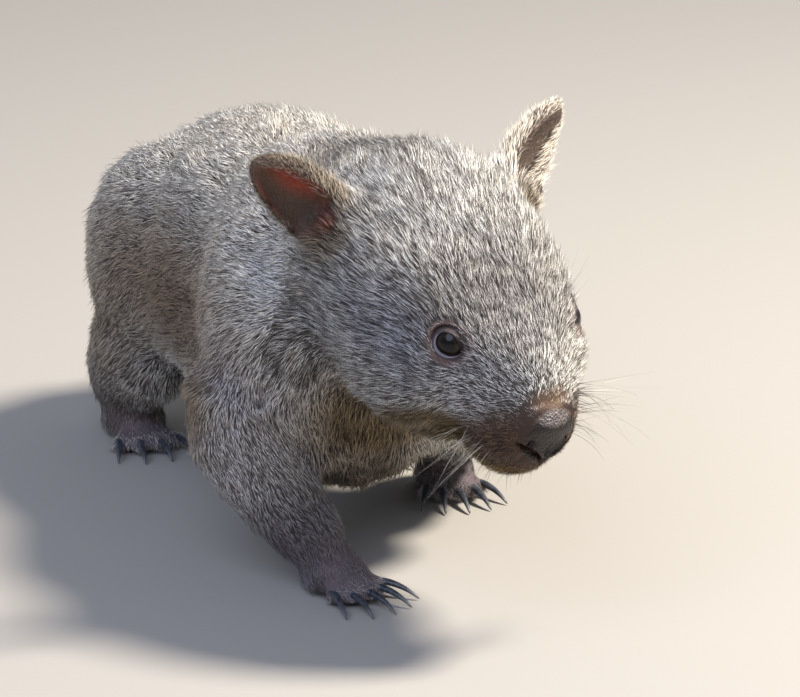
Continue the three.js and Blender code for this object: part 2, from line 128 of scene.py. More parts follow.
# place, how far to each side of it a pair of rows stands, then as above, and the row's group
BODY_ROWS = [
    ((84, 0, 152), 0, 20, 3.2, 6.6, 0.32, 20, 2.27, (-1, 0, 0), "neck"),
    ((72, 2, 118), 40, 20, 3.4, 7.0, 0.32, 14, 2.18, (-1, 0, -0.15), "neck"),
    ((92, 0, 76), 0, 18, 3.8, 7.4, 0.33, 16, 1.82, (-0.7, 0, -1), "neck"),
    ((38, 0, 154), 0, 26, 3.6, 7.0, 0.33, 18, 2.18, (-1, 0, 0), "back"),
    ((-10, 2, 146), 0, 30, 3.9, 7.4, 0.34, 17, 2.09, (-1, 0, -0.05), "back"),
    ((-70, 6, 140), 0, 30, 4.0, 7.6, 0.34, 17, 2.05, (-1, 0, -0.1), "back"),
    ((-114, 13, 124), 0, 24, 4.0, 7.8, 0.35, 17, 1.91, (-1, 0, -0.5), "rump"),
    ((-142, 18, 88), 0, 24, 4.0, 7.8, 0.35, 15, 1.82, (-0.5, 0, -1), "rump"),
    ((-30, 2, 90), 52, 30, 4.0, 7.6, 0.34, 13, 1.96, (-1, 0, -0.35), "flank"),
    ((44, 0, 94), 54, 24, 3.8, 7.2, 0.33, 13, 2.05, (-0.9, 0, -0.5), "flank"),
    ((-90, 12, 84), 50, 28, 4.0, 7.6, 0.34, 13, 1.91, (-0.8, 0, -0.7), "rump"),
    ((-30, 2, 28), 0, 36, 3.8, 7.4, 0.36, 13, 1.36, (-1, 0, 0), "flank"),
    ((62, 0, 42), 0, 22, 3.8, 7.2, 0.34, 16, 1.64, (-0.6, 0, -1), "neck"),
]
LEG_LINES = {
    "foreleg_right": [(57, -46, 62), (68, -38, 38), (82, -27, 19), (88, -21, 9)],
    "foreleg_left": [(32, 45, 62), (11, 52, 38), (-8, 56, 18), (-7, 56, 9)],
    "hindleg_right": [(-84, -32, 54), (-106, -35, 32), (-120, -34, 16), (-112, -34, 8)],
    "hindleg_left": [(-60, 50, 54), (-71, 52, 32), (-80, 52, 16), (-72, 52, 8)],
}
# reach, depth, length, width, lift, per square mm
LEG_STEPS = [(24, 2.8, 5.6, 0.31, 11, 1.65), (17, 2.0, 4.6, 0.29, 11, 1.85), (11, 1.2, 3.6, 0.26, 11, 2.2)]
PAW_BACK, PAW_TOES = (8, 0.8, 3.2, 0.28, 14, 3.4), (7, 0.4, 2.2, 0.24, 13, 3.2)
# middle, heading in degrees, kind
PAWS = {
    "forepaw_right": ((91, -20), 20, "fore"),
    "forepaw_left": ((-4, 56), -4, "fore"),
    "hindpaw_right": ((-106, -34), -4, "hind"),
    "hindpaw_left": ((-66, 52), 8, "hind"),
}
# angles of the toes; where they start; a toe's length and height; a claw's length, half width and drop
PAW_KINDS = {
    "fore": {"toes": [-44, -21, 0, 21, 44], "from": 7, "toe": (8, 4.8), "claw": (14, 1.6, 4.4)},
    "hind": {"toes": [-28, -9, 10, 29], "from": 14, "toe": (9, 5), "claw": (11, 1.6, 4.6)},
}
# base, tip, the way the cup faces, half width, how round the tip is, how far the bare cup goes outward
EARS = {
    "right": ((4, -37, 13), (-0.32, -0.74, 0.6), (0.95, -0.3, 0.05), 13.5, 2.2, 1.0),
    "left": ((5, 38.5, 11.5), (-0.45, 0.68, 0.56), (0.95, 0.12, 0.1), 18.0, 1.4, 0.35),
}
EAR_LENGTH, EAR_WALL, EAR_FOLD = 39, 2.2, 4.5
# share of the ear's length, length of the hair there; how far aside the outer rows stand at its root
EAR_STEPS = ((0.05, 5.5), (0.4, 4.8), (0.7, 3.8), (0.97, 2.2))
EAR_ASIDE = 9
# the sign of the ear frames' y towards the crown
CROWNWARD = {"right": -1, "left": 1}
rows = []


def add_row(matrix, place, reach, depth, length, width, lift, per_mm, lie, group):
    """One row of the coat, carried into the animal's frame."""
    turn = np.array(matrix)[:3, :3] / MM
    values = (reach * MM, depth, length, width, lift, per_mm)
    rows.append((*carried(matrix, place), *values, *(turn @ lie), group))


for row in HEAD_ROWS:
    add_row(head_frame, *row, "face")
for place, *values, lie in CHEEK_ROWS:
    for sign in SIDES.values():
        add_row(head_frame, mirrored(place, sign), *values, mirrored(lie, sign), "face")
ear_frames = {}
for side, (base, tip, faces, *_) in EARS.items():
    axis = Vector(tip).normalized()
    fore = (Vector(faces) - axis * axis.dot(Vector(faces))).normalized()
    turn = Matrix((axis, fore.cross(axis), fore)).transposed().to_4x4()
    ear_frames[side] = head_frame @ Matrix.Translation(Vector(base)) @ turn
    for share, hair_length in EAR_STEPS:
        for aside in (-1, 0, 1):
            place = (EAR_LENGTH * share, EAR_ASIDE * aside * (1 - share), 0)
            values = (6.5, 0.35, hair_length, 0.24, 18 + 4 * abs(aside), 3.4)
            add_row(ear_frames[side], place, *values, (1, 0.4 * aside, -0.1), "ears")
for (x, y, z), aside, *values in BODY_ROWS:
    for off in sorted({aside, -aside}, reverse=True):
        add_row(body_frame, (x, y + off, z), *values)
for line in LEG_LINES.values():
    for above, below, values in zip(line, line[1:], LEG_STEPS):
        add_row(body_frame, above, *values, (Vector(below) - Vector(above)).normalized(), "legs")
for (x, y), heading, kind in PAWS.values():
    ahead = level(math.radians(heading))
    back = Vector((x, y, 11)) + ahead * 2
    add_row(body_frame, back, *PAW_BACK, ahead - Vector((0, 0, 0.5)), "paws")
    toes = Vector((x, y, 7)) + ahead * (PAW_KINDS[kind]["from"] + 6)
    add_row(body_frame, toes, *PAW_TOES, ahead - Vector((0, 0, 0.3)), "paws")
row_numbers = np.array([row[:12] for row in rows])
row_groups = np.array([row[12] for row in rows])


def coat_at(points):
    """The blended row of the coat at each point, and the group it belongs to."""
    off = points[:, None, :] - row_numbers[None, :, :3]
    weight = np.exp(-0.5 * (off**2).sum(2) / row_numbers[:, 3] ** 2) + 1e-12
    share = weight / weight.sum(1, keepdims=True)
    blend = share @ row_numbers[:, 4:]
    names = dict(zip(("depth", "length", "width", "lift", "per_mm"), blend.T))
    return {**names, "lie": blend[:, 5:], "group": row_groups[weight.argmax(1)]}


print("the coat's table has", len(rows), "rows")

# %% [markdown]
# ## One skin inside the coat
# A museum mount has one skin from nose to tail. The frame's solids are parted by thin cuts, so they are
# copied, swelled a little to close the cuts, and turned into one closed surface by a voxel remesh.
# Sculpting by hand would also work, but the remesh keeps every proportion of the frame. The skin then sinks
# by the depth of the coat, so that the hairs' tips end where the frame's faces are.

# %% Helpers for meshes
VOXEL = 1.8 * MM
SWELL = 0.7 * MM
# how far a smoothing step goes outward for each one inward
OUTWARD = -1.04
LIMB_PARTS = [end + part for end in ("fore", "hind") for part in ("leg", "paw")]
LIMBS = [f"{part}_{side}" for part in LIMB_PARTS for side in ("left", "right")]
FLESH = ["torso", "neck", "head", "nose", "tail", "ear_left", "ear_right", *LIMBS]


def put(name, data):
    """A new object of a mesh, a light or a camera, in the scene."""
    made = bpy.data.objects.new(name, data)
    bpy.context.scene.collection.objects.link(made)
    return made


def new_piece(name, bm):
    """An object of a bmesh's mesh, at the origin."""
    mesh = bpy.data.meshes.new(name)
    bm.to_mesh(mesh)
    bm.free()
    return put(name, mesh)


def settle(piece):
    """Bakes a piece's modifiers into its mesh."""
    bpy.context.view_layer.update()
    shaped = piece.evaluated_get(bpy.context.evaluated_depsgraph_get())
    mesh = bpy.data.meshes.new_from_object(shaped)
    piece.modifiers.clear()
    old, piece.data = piece.data, mesh
    bpy.data.meshes.remove(old)
    mesh.name = piece.name


def read(elements, key, width=3, kind=np.float32):
    """One property of a mesh's elements as an array, a row for each."""
    flat = np.empty(len(elements) * width, kind)
    elements.foreach_get(key, flat)
    return flat.reshape(-1, width)


def coordinates(mesh):
    """A mesh's vertex positions as an array."""
    return read(mesh.vertices, "co").astype(float)


def place_vertices(mesh, points):
    """Writes an array of positions back to a mesh."""
    mesh.vertices.foreach_set("co", np.asarray(points, np.float32).ravel())
    mesh.update()


def vertex_normals(mesh):
    """A mesh's vertex normals as an array."""
    return read(mesh.vertex_normals, "vector").astype(float)


def smoothed(mesh, points, weight, rounds):
    """Positions averaged with their neighbours, each round followed by one outward, so nothing shrinks."""
    edges = read(mesh.edges, "vertices", 2, np.int32)
    one, other = edges.T
    size = len(points)
    count = np.bincount(edges.ravel(), minlength=size).astype(float)[:, None]
    for sign in [1, OUTWARD] * rounds:
        total = [np.bincount(one, co[other], size) + np.bincount(other, co[one], size) for co in points.T]
        points = points + sign * weight[:, None] * (np.stack(total, 1) / count - points)
    return points


# %% Join and remesh the flesh
EYE_RADIUS = 6.4
EYE_AT = (64.1, 22.1, 1.3)
# how thick the bed of flesh round an eyeball is
EYE_BED = 1.2
eyes = {side: mirrored(EYE_AT, sign) for side, sign in SIDES.items()}
bm = bmesh.new()
for name in FLESH:
    bm.from_mesh(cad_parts[name].data)
bmesh.ops.remove_doubles(bm, verts=bm.verts, dist=1e-6)
bm.normal_update()
for vert in bm.verts:
    vert.co += vert.normal * SWELL
for centre in eyes.values():
    ball = bmesh.ops.create_icosphere(bm, subdivisions=3, radius=(EYE_RADIUS + EYE_BED) * MM)
    bmesh.ops.translate(bm, verts=ball["verts"], vec=head_frame @ Vector(centre))
skin = new_piece("skin", bm)
remesh = skin.modifiers.new("one skin", "REMESH")
remesh.mode = "VOXEL"
remesh.voxel_size = VOXEL
settle(skin)
bm = bmesh.new()
bm.from_mesh(skin.data)
unseen = set(bm.verts)
islands = []
while unseen:
    island = [unseen.pop()]
    for vert in island:
        for edge in vert.link_edges:
            far = edge.other_vert(vert)
            if far in unseen:
                unseen.discard(far)
                island.append(far)
    islands.append(island)
islands.sort(key=len)
bmesh.ops.delete(bm, geom=[vert for island in islands[:-1] for vert in island], context="VERTS")
bm.to_mesh(skin.data)
bm.free()
print("the remesh gave", len(islands), "shells and kept", len(skin.data.vertices), "vertices")

# %% [markdown]
# ## Sink the skin
# The frame's facets are smoothed away first, less on the thin ears and small toes, which would shrink. Then
# each point moves in by the coat's depth there. The soles keep their level, because the animal stands on
# them.

# %% Smooth, then sink by the coat's depth
SOFT, SOFT_THIN = 0.5, {"ears": 0.12, "paws": 0.2}
# millimetres over the floor between which the coat's depth grows from nothing
SOLE_EDGE = (1.5, 8)
points = coordinates(skin.data)
coat = coat_at(points)
soft = np.array([SOFT_THIN.get(group, SOFT) for group in coat["group"]])
points = smoothed(skin.data, points, soft, 14)
place_vertices(skin.data, points)
depth = coat["depth"] * MM * step(*SOLE_EDGE, points[:, 2] / MM) + SWELL
points = points - vertex_normals(skin.data) * depth[:, None]
points = smoothed(skin.data, points, soft * 0.6, 3)
points[:, 2] = np.maximum(points[:, 2], 0)
place_vertices(skin.data, points)
print("the skin spans", np.round((points.max(0) - points.min(0)) / MM, 1), "mm")

# %% [markdown]
# ## Finer mesh on the face
# Lids, nostrils and lips have edges half a millimetre wide, far finer than the remesh. Making the whole
# skin that fine would cost millions of faces, so only balls round the eyes and the muzzle are subdivided,
# in steps, and smoothed again.

# %% Subdivide round the eyes and the muzzle
LOOK_CLOSER = [
    [(eyes["right"], 11), (eyes["left"], 11), ((88, 0, -24), 19)],
    [(eyes["right"], 9.5), (eyes["left"], 9.5), ((90, 0, -24), 16)],
    [(eyes["right"], 8.2), (eyes["left"], 8.2), ((96, 0, -27), 9)],
]
bm = bmesh.new()
bm.from_mesh(skin.data)
for places in LOOK_CLOSER:
    balls = [(head_frame @ Vector(centre), reach * MM) for centre, reach in places]
    edges = [edge for edge in bm.edges if any((edge.verts[0].co - c).length < r for c, r in balls)]
    bmesh.ops.subdivide_edges(bm, edges=edges, cuts=1, use_grid_fill=True)
    near = [vert for vert in bm.verts if any((vert.co - c).length < r for c, r in balls)]
    for _ in range(4):
        bmesh.ops.smooth_vert(bm, verts=near, factor=0.5, use_axis_x=True, use_axis_y=True, use_axis_z=True)
bmesh.ops.triangulate(bm, faces=[face for face in bm.faces if len(face.verts) > 4])
bm.to_mesh(skin.data)
bm.free()
print("the skin now has", len(skin.data.vertices), "vertices")

# %% [markdown]
# ## Lids
# A lid is skin drawn over the ball of the eye: inside the opening it dips behind the ball, at the margin it
# rises over it as a thin rim, and outside it falls into a fold before it meets the brow. Seen along the way
# the eye looks, this is a height that depends only on how far out a point is, so it is written as one
# profile.

# %% Draw the lids over the eyes
EYE_LOOKS, EYE_UP = (0.55, 0.82, 0.12), (0.1, 0, 1)
# half width and half height of the opening; 2 makes it an ellipse and less makes its corners sharper
LID_WIDE, LID_HIGH, LID_CORNERS = 4.7, 3.9, 1.8
# how far the opening's middle stands up, and how much it slopes down to the nose
LID_RAISED, LID_SLOPE = 0.2, 0.14
# how far the lids' skin stands over the eyeball, and how far it dips behind it in the opening
LID_SKIN, LID_BEHIND = 0.3, 0.7
# where the rim and the fold run, how high and how deep they are, and how wide
RIM_OUT, RIM_HIGH, FOLD_OUT, FOLD_DEEP, RIM_WIDE = 1.13, 0.35, 1.42, 0.75, 0.1
# the sign of the eye frames' x towards the nose
NOSEWARD = {"right": 1, "left": -1}


def eye_frame(side):
    """The axes along, up and out of an eye, from its middle."""
    out = unit(np.array(mirrored(EYE_LOOKS, SIDES[side])))
    up = unit(np.array(EYE_UP) - out * np.dot(EYE_UP, out))
    turn = Matrix(np.stack([np.cross(up, out), up, out]).tolist()).transposed().to_4x4()
    return head_frame @ Matrix.Translation(Vector(eyes[side])) @ turn


def hump(value, middle, width):
    """1 at the middle, fading away over a width on both sides."""
    return np.exp(-(((value - middle) / width) ** 2))


def off_lids(side, x, y):
    """How far out a place is from the middle of the lids' opening; 1 is on their edge."""
    sloped = y - LID_RAISED + LID_SLOPE * x * NOSEWARD[side]
    parts = np.abs(x / LID_WIDE) ** LID_CORNERS + np.abs(sloped / LID_HIGH) ** LID_CORNERS
    return parts ** (1 / LID_CORNERS)


def lid_height(side, x, y, base):
    """Height of the lids' skin over the eye's middle at a place in its opening."""
    out = off_lids(side, x, y)
    ball = np.sqrt(np.maximum(EYE_RADIUS**2 - x**2 - y**2, 0))
    edge = ball + LID_SKIN
    height = np.maximum(edge + (base - edge) * step(1.0, 1.6, out), edge)
    height += RIM_HIGH * hump(out, RIM_OUT, RIM_WIDE)
    upper = 0.4 + 0.6 * step(-2, 2, y)
    height -= FOLD_DEEP * upper * hump(out, FOLD_OUT, RIM_WIDE)
    behind = ball - LID_BEHIND
    return behind + (height - behind) * step(0.93, 1.03, out)


eye_frames = {side: eye_frame(side) for side in eyes}
points = coordinates(skin.data)
for side, matrix in eye_frames.items():
    local = carried(matrix.inverted(), points)
    x, y, z = local.T
    held = (z > 0) * (1 - step(8.5, 10.5, np.hypot(x, y)))
    local[:, 2] += held * (lid_height(side, x, y, z) - z)
    points = carried(matrix, local)
place_vertices(skin.data, points)
print("the lids' openings are", 2 * LID_WIDE, "by", 2 * LID_HIGH, "mm")

# %% [markdown]
# ## Nose
# The nose is a bare pad with a flat top that faces up and a flat front that faces down, and a blunt edge
# between them. Two planes give exactly that: every point of the pad moves to the smooth maximum of the
# planes' distances, which rounds the edge by itself, and the pad curves back towards its sides.

# %% Press the nose into two planes
# where the two planes meet, ahead and up in the head's axes, and which way they face
NOSE_EDGE = (99.3, -16.0)
NOSE_TOP, NOSE_FRONT = math.radians(38), math.radians(-14)
# the nose points a little to the animal's left of the head's own middle
NOSE_SIDE = 2.0
# how sharp the edge between the planes is, and how much the pad curves back to its sides
SHARP, PAD_CURVE = 1.3, 0.026
# the pad lies ahead of this, and fades out between these heights and widths
PAD_BACK, PAD_UPPER, PAD_LOWER, PAD_OUTER = 86, (-12, -9), (-33.5, -31), (8, 11)
into_head = head_frame.inverted()
local = carried(into_head, points)
x, y, z = local.T
y = y - NOSE_SIDE
across = np.abs(y)
facing = [np.array((math.cos(angle), 0, math.sin(angle))) for angle in (NOSE_TOP, NOSE_FRONT)]
away = [(local - (NOSE_EDGE[0], 0, NOSE_EDGE[1])) @ way for way in facing]
pull = [np.exp(np.clip(SHARP * distance, -30, 30)) for distance in away]
height = np.log(pull[0] + pull[1]) / SHARP + PAD_CURVE * y**2
way = (pull[0][:, None] * facing[0] + pull[1][:, None] * facing[1]) / (pull[0] + pull[1])[:, None]
on_pad = (x > PAD_BACK) * (1 - step(*PAD_UPPER, z)) * step(*PAD_LOWER, z) * (1 - step(*PAD_OUTER, across))
local = local - (height * on_pad)[:, None] * way
points = carried(head_frame, local)
place_vertices(skin.data, points)
print("the nose moved by", round(np.abs(height * on_pad).max(), 1), "mm at most")

# %% [markdown]
# ## Nostrils, mouth and chin
# The nostrils are commas at the sides of the pad, and a shallow groove sets the pad off from the furred
# skin. The mouth is a closed line, low in the middle and steep beside it. Each is a dent along the skin's
# own normal, as if pressed into clay, and the dent's depth is kept on the points, so that the material can
# paint shade into the creases.

# %% Press in the mouth, nostrils and grooves
# height of the mouth's middle, how far its ends rise, its half width, and how its line bends
MOUTH_MIDDLE, MOUTH_RISE, MOUTH_HALF, MOUTH_CURVE = -34, 11, 13, 0.75
# the mouth's line and the groove under the pad fade in between these places along the muzzle
MUZZLE = (66, 74)
# how deep the mouth is, how high the lips swell beside it, and how deep the two grooves of the pad are
MOUTH_DEEP, LIP_HIGH, PAD_GROOVE, LIP_GROOVE = 2.6, 0.45, 0.4, 0.35
NOSTRIL_AT, NOSTRIL_LEAN = (97, 8.4, -24.2), math.radians(32)
# half widths, half heights and depths of a nostril's hole and of its comma's tail
HOLE, TAIL = (1.8, 1.15, 2.3), (1.6, 0.6, 0.7)


def off_mouth(local):
    """Height over the line of the mouth."""
    aside = np.abs(local[:, 1] - NOSE_SIDE) / MOUTH_HALF
    return local[:, 2] - MOUTH_MIDDLE - MOUTH_RISE * aside**MOUTH_CURVE


PAD_AT, PAD_SIZE = (93, NOSE_SIDE, -22.4), (11.5, 11.3, 11.8)
normals = vertex_normals(skin.data)
x, y, z = local.T
y = y - NOSE_SIDE
front = step(*MUZZLE, x)
above = off_mouth(local)
mouth_on = front * (1 - step(MOUTH_HALF - 2, MOUTH_HALF + 1, across))
open_here = 0.65 + 0.65 * hump(across, 4.5, 3.2)
dent = MOUTH_DEEP * mouth_on * hump(above, 0, open_here)
dent -= LIP_HIGH * mouth_on * hump(np.abs(above), 2.4, 1.1)
off_pad = np.hypot(y / PAD_SIZE[1], (z - PAD_AT[2]) / PAD_SIZE[2])
dent += PAD_GROOVE * (x > PAD_BACK) * step(-0.5, 1.5, above) * hump(off_pad, 1, 0.07)
dent += LIP_GROOVE * front * (1 - step(-26, -23, z)) * step(0, 2, above) * hump(y, 0, 0.7)
lean_cos, lean_sin = math.cos(NOSTRIL_LEAN), math.sin(NOSTRIL_LEAN)
for sign in SIDES.values():
    off = local - (NOSTRIL_AT[0], NOSTRIL_AT[1] * sign + NOSE_SIDE, NOSTRIL_AT[2])
    slant = off[:, 1] * sign * lean_cos - off[:, 2] * lean_sin
    rise = off[:, 1] * sign * lean_sin + off[:, 2] * lean_cos
    hole = np.exp(-((slant / HOLE[0]) ** 2) - ((rise / HOLE[1]) ** 2))
    comma = np.exp(-(((slant - 2.4) / TAIL[0]) ** 2) - (((rise - 0.5) / TAIL[1]) ** 2))
    dent += (x > PAD_BACK) * (HOLE[2] * hole + TAIL[2] * comma)
points = points - normals * dent[:, None] * MM
place_vertices(skin.data, points)
# the dents' depth, which the skin's material turns into painted shade in the creases
crease = skin.data.attributes.new("crease", "FLOAT", "POINT")
crease.data.foreach_set("value", np.clip(dent / 1.6, 0, 1).astype(np.float32))
print("deepest dent", round(dent.max(), 1), "mm")

# %% [markdown]
# ## An unwrap for the bake
# The coat's colours can be baked to a picture later. For that each hair needs a place on a flat map, and
# the natural one is the place where its root stands on an unwrap of the skin. Blender's smart projection
# cuts the skin into flat pieces by itself.

# %% Unwrap the skin
MAP_NAME = "OFBake"
skin.data.polygons.foreach_set("use_smooth", np.ones(len(skin.data.polygons), bool))
skin.data.uv_layers.new(name=MAP_NAME)
bpy.context.view_layer.objects.active = skin
skin.select_set(True)
bpy.ops.object.mode_set(mode="EDIT")
bpy.ops.mesh.select_all(action="SELECT")
bpy.ops.uv.smart_project(angle_limit=math.radians(66), island_margin=0)
bpy.ops.object.mode_set(mode="OBJECT")
skin.select_set(False)
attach(skin, "root")
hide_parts(*FLESH)
skin.data.calc_loop_triangles()
print("the skin has", len(skin.data.loop_triangles), "triangles")

# %% [markdown]
# ## The shape of one hair
# Particle hair would be lost in an export, so every hair is a small closed solid. It starts as a three-
# sided cone from an operator. The short fur of face, ears and paws stays a straight spike of four faces.
# Long fur is a spindle of six: its cone starts partway up and its base is poked out to a point at the root,
# so it can bend.

# %% Make unit hairs
def unit_strand(sides, cuts, profile, flat=0.6, widest=0.0):
    """Points and triangles of a closed strand from x = 0 to 1, with half width 1 times its profile."""
    bm = bmesh.new()
    bmesh.ops.create_cone(bm, cap_ends=True, segments=sides, radius1=1, radius2=0, depth=1 - widest)
    bmesh.ops.remove_doubles(bm, verts=bm.verts, dist=1e-4)
    bmesh.ops.translate(bm, verts=bm.verts, vec=(0, 0, (1 + widest) / 2))
    bmesh.ops.rotate(bm, verts=bm.verts, cent=(0, 0, 0), matrix=Matrix.Rotation(math.radians(90), 3, "Y"))
    for cut in cuts:
        everything = [*bm.verts, *bm.edges, *bm.faces]
        bmesh.ops.bisect_plane(bm, geom=everything, plane_co=(cut, 0, 0), plane_no=(1, 0, 0))
    for vert in bm.verts:
        along = max(vert.co.x, 0)
        if along < 0.999:
            wider = profile(along) * (1 - widest) / (1 - along)
            vert.co.y *= wider
            vert.co.z *= wider * flat
    if widest:
        base = min(bm.faces, key=lambda face: face.calc_center_median().x)
        bmesh.ops.poke(bm, faces=[base])["verts"][0].co = (0, 0, 0)
    bmesh.ops.triangulate(bm, faces=bm.faces)
    bmesh.ops.recalc_face_normals(bm, faces=bm.faces)
    points = np.array([vert.co for vert in bm.verts])
    faces = np.array([[vert.index for vert in face.verts] for face in bm.faces])
    bm.free()
    return points, faces


short_hair = unit_strand(3, [], lambda u: 1 - u)
long_hair = unit_strand(3, [], lambda u: 1, widest=0.4)
print("a short hair has", len(short_hair[1]), "faces, a long one", len(long_hair[1]))


# %% Join many strands in one mesh
# a hair's patch on the map, as shares of the map's side
PATCH_WIDE, PATCH_LONG = 0.0012, 0.003


def strands(name, shape, root, middle, tip, across, half_width, tint, on_map=None):
    """One piece of many strands, each bent along its own curve from root to tip."""
    unit_points, unit_faces = shape
    count, size = len(root), len(unit_points)
    u = unit_points[None, :, :1]
    curve = (1 - u) ** 2 * root[:, None] + 2 * u * (1 - u) * middle[:, None] + u**2 * tip[:, None]
    upward = unit(np.cross(unit(tip - root), across))
    wide = across[:, None] * unit_points[None, :, 1:2] + upward[:, None] * unit_points[None, :, 2:3]
    points = curve + wide * half_width[:, None, None]
    corners = (unit_faces[None] + size * np.arange(count)[:, None, None]).reshape(-1)
    mesh = bpy.data.meshes.new(name)
    mesh.vertices.add(count * size)
    mesh.loops.add(len(corners))
    mesh.polygons.add(len(corners) // 3)
    mesh.vertices.foreach_set("co", points.astype(np.float32).ravel())
    mesh.loops.foreach_set("vertex_index", corners.astype(np.int32))
    mesh.polygons.foreach_set("loop_start", np.arange(0, len(corners), 3, dtype=np.int32))
    mesh.polygons.foreach_set("use_smooth", np.ones(len(corners) // 3, bool))
    mesh.update(calc_edges=True)
    for key, values in (("along", np.tile(unit_points[:, 0], count)), ("tint", np.repeat(tint, size))):
        mesh.attributes.new(key, "FLOAT", "POINT").data.foreach_set("value", values.astype(np.float32))
    if on_map is not None:
        patch = np.stack([unit_points[:, 1] * PATCH_WIDE, (unit_points[:, 0] - 0.5) * PATCH_LONG], 1)
        placed = (on_map[:, None] + patch[None]).reshape(-1, 2)[corners]
        mesh.uv_layers.new(name=MAP_NAME).data.foreach_set("uv", placed.astype(np.float32).ravel())
    piece = put(name, mesh)
    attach(piece, "root")
    return piece


# %% [markdown]
# ## Grow the coat
# Roots are spread over the skin's triangles by their area and the table's count, in even steps so that no
# bald spots appear. Each hair lies along the table's direction, turned a little by slow waves and a little
# at random, and its tip leans to the middle of its lock, which breaks the coat into fine clumps as real fur
# does.

# %% Roots of the hairs
SEED = 7
dice = np.random.default_rng(SEED)
KEEP = 1.0
# where bare skin ends: round the lids, in shares of their opening; beside the mouth; up the soles
BARE_LIDS, BARE_LIPS, BARE_SOLES = (1.35, 2.0), (0.7, 1.4), 5 * MM
# how much of the hair is missing in the cup of an ear
CUP_SPARSE = 0.78


def waves(points, length):
    """Smooth noise between about -1 and 1, made of waves of one length in fixed directions."""
    turns = np.random.default_rng(int(length * 1e6)).normal(size=(8, 3))
    phases = points @ (unit(turns) * 2 * math.pi / length).T + turns.sum(1)
    return np.sin(phases).sum(1) / 3


def hairless(points, normals):
    """1 where the skin is bare: nose pad, lips' edge, lid rims and soles."""
    local = carried(into_head, points)
    bare = 1 - step(0.98, 1.08, np.linalg.norm((local - PAD_AT) / PAD_SIZE, axis=1))
    bare = bare * step(-1, 1, off_mouth(local))
    for side, matrix in eye_frames.items():
        x, y, z = carried(matrix.inverted(), points).T
        bare = np.maximum(bare, (z > 0) * (1 - step(*BARE_LIDS, off_lids(side, x, y))))
    lips = (local[:, 0] > MUZZLE[1]) * (np.abs(local[:, 1]) < MOUTH_HALF - 1)
    bare = np.maximum(bare, lips * (1 - step(*BARE_LIPS, np.abs(off_mouth(local)))))
    soles = (points[:, 2] < BARE_SOLES) * step(0.3, 0.6, -normals[:, 2])
    return np.maximum(bare, soles)


def in_cup(points, normals):
    """1 in the cup of an ear, where the hair is sparse and short."""
    inside = np.zeros(len(points))
    for side, (*_, wide, roundness, outward) in EARS.items():
        along, aside, fore = carried(ear_frames[side].inverted(), points).T
        facing = normals @ np.array(ear_frames[side])[:3, 2] / MM
        taper = np.sqrt(np.maximum(1 - (np.clip(along, 0, EAR_LENGTH) / EAR_LENGTH) ** roundness, 0))
        half = np.maximum(wide * taper - EAR_WALL - EAR_FOLD / 2, 0.5)
        crownward = CROWNWARD[side] * aside + EAR_FOLD / 2
        off = np.abs(crownward) / half / np.where(crownward > 0, 1, outward)
        near = step(0, 7, along) * (along < EAR_LENGTH) * (np.abs(fore) < 12)
        inside = np.maximum(inside, near * step(0.0, 0.3, facing) * (1 - step(0.85, 1.05, off)))
    return inside


mesh = skin.data
corner_verts, corner_loops = (read(mesh.loop_triangles, key, 3, np.int32) for key in ("vertices", "loops"))
flat_map = read(mesh.uv_layers[MAP_NAME].data, "uv", 2)
skin_points, skin_normals = coordinates(mesh), vertex_normals(mesh)
a, b, c = (skin_points[corner_verts[:, k]] for k in range(3))
area = np.linalg.norm(np.cross(b - a, c - a), axis=1) / 2 / MM**2
centres = (a + b + c) / 3
centre_coat = coat_at(centres)
centre_normals = skin_normals[corner_verts[:, 0]]
furred = (1 - hairless(centres, centre_normals)) * (1 - CUP_SPARSE * in_cup(centres, centre_normals))
per_triangle = area * centre_coat["per_mm"] * furred * KEEP
total = np.cumsum(per_triangle)
hairs = int(total[-1])
chosen = np.searchsorted(total, (np.arange(hairs) + dice.random(hairs)) * total[-1] / hairs)
chosen = np.minimum(chosen, len(area) - 1)
share = np.sqrt(dice.random(hairs))[:, None], dice.random(hairs)[:, None]
weights = np.stack([1 - share[0], share[0] * (1 - share[1]), share[0] * share[1]], 1)
roots = (skin_points[corner_verts[chosen]] * weights).sum(1)
root_normals = unit((skin_normals[corner_verts[chosen]] * weights).sum(1))
root_map = (flat_map[corner_loops[chosen]] * weights).sum(1)
print("the coat has", hairs, "hairs")

# %% Lay every hair
# degrees by which swirls turn the coat, and how long they are; degrees by which a hair strays
SWIRLS, STRAY = ((13, 23 * MM), (9, 9 * MM)), 9
# shares of the table's length and width that hairs have, and how far their tips lean into their lock
LENGTHS, WIDTHS, LEANS = (0.75, 1.15), (0.75, 1.2), (0.05, 0.45)
# guard hairs: how many there are, how much longer, how many degrees steeper
GUARDS, GUARD_LONG, GUARD_STEEP = 0.08, 1.3, 6
# hairs in the cup of an ear: how much shorter, how many degrees flatter, how much darker
CUP_SHORT, CUP_FLAT, CUP_DARK = 0.35, 10, 0.6
# radians by which a hair leaves the skin more steeply than its lift, and ends less steeply
LEAVES, ENDS = 0.22, 0.2
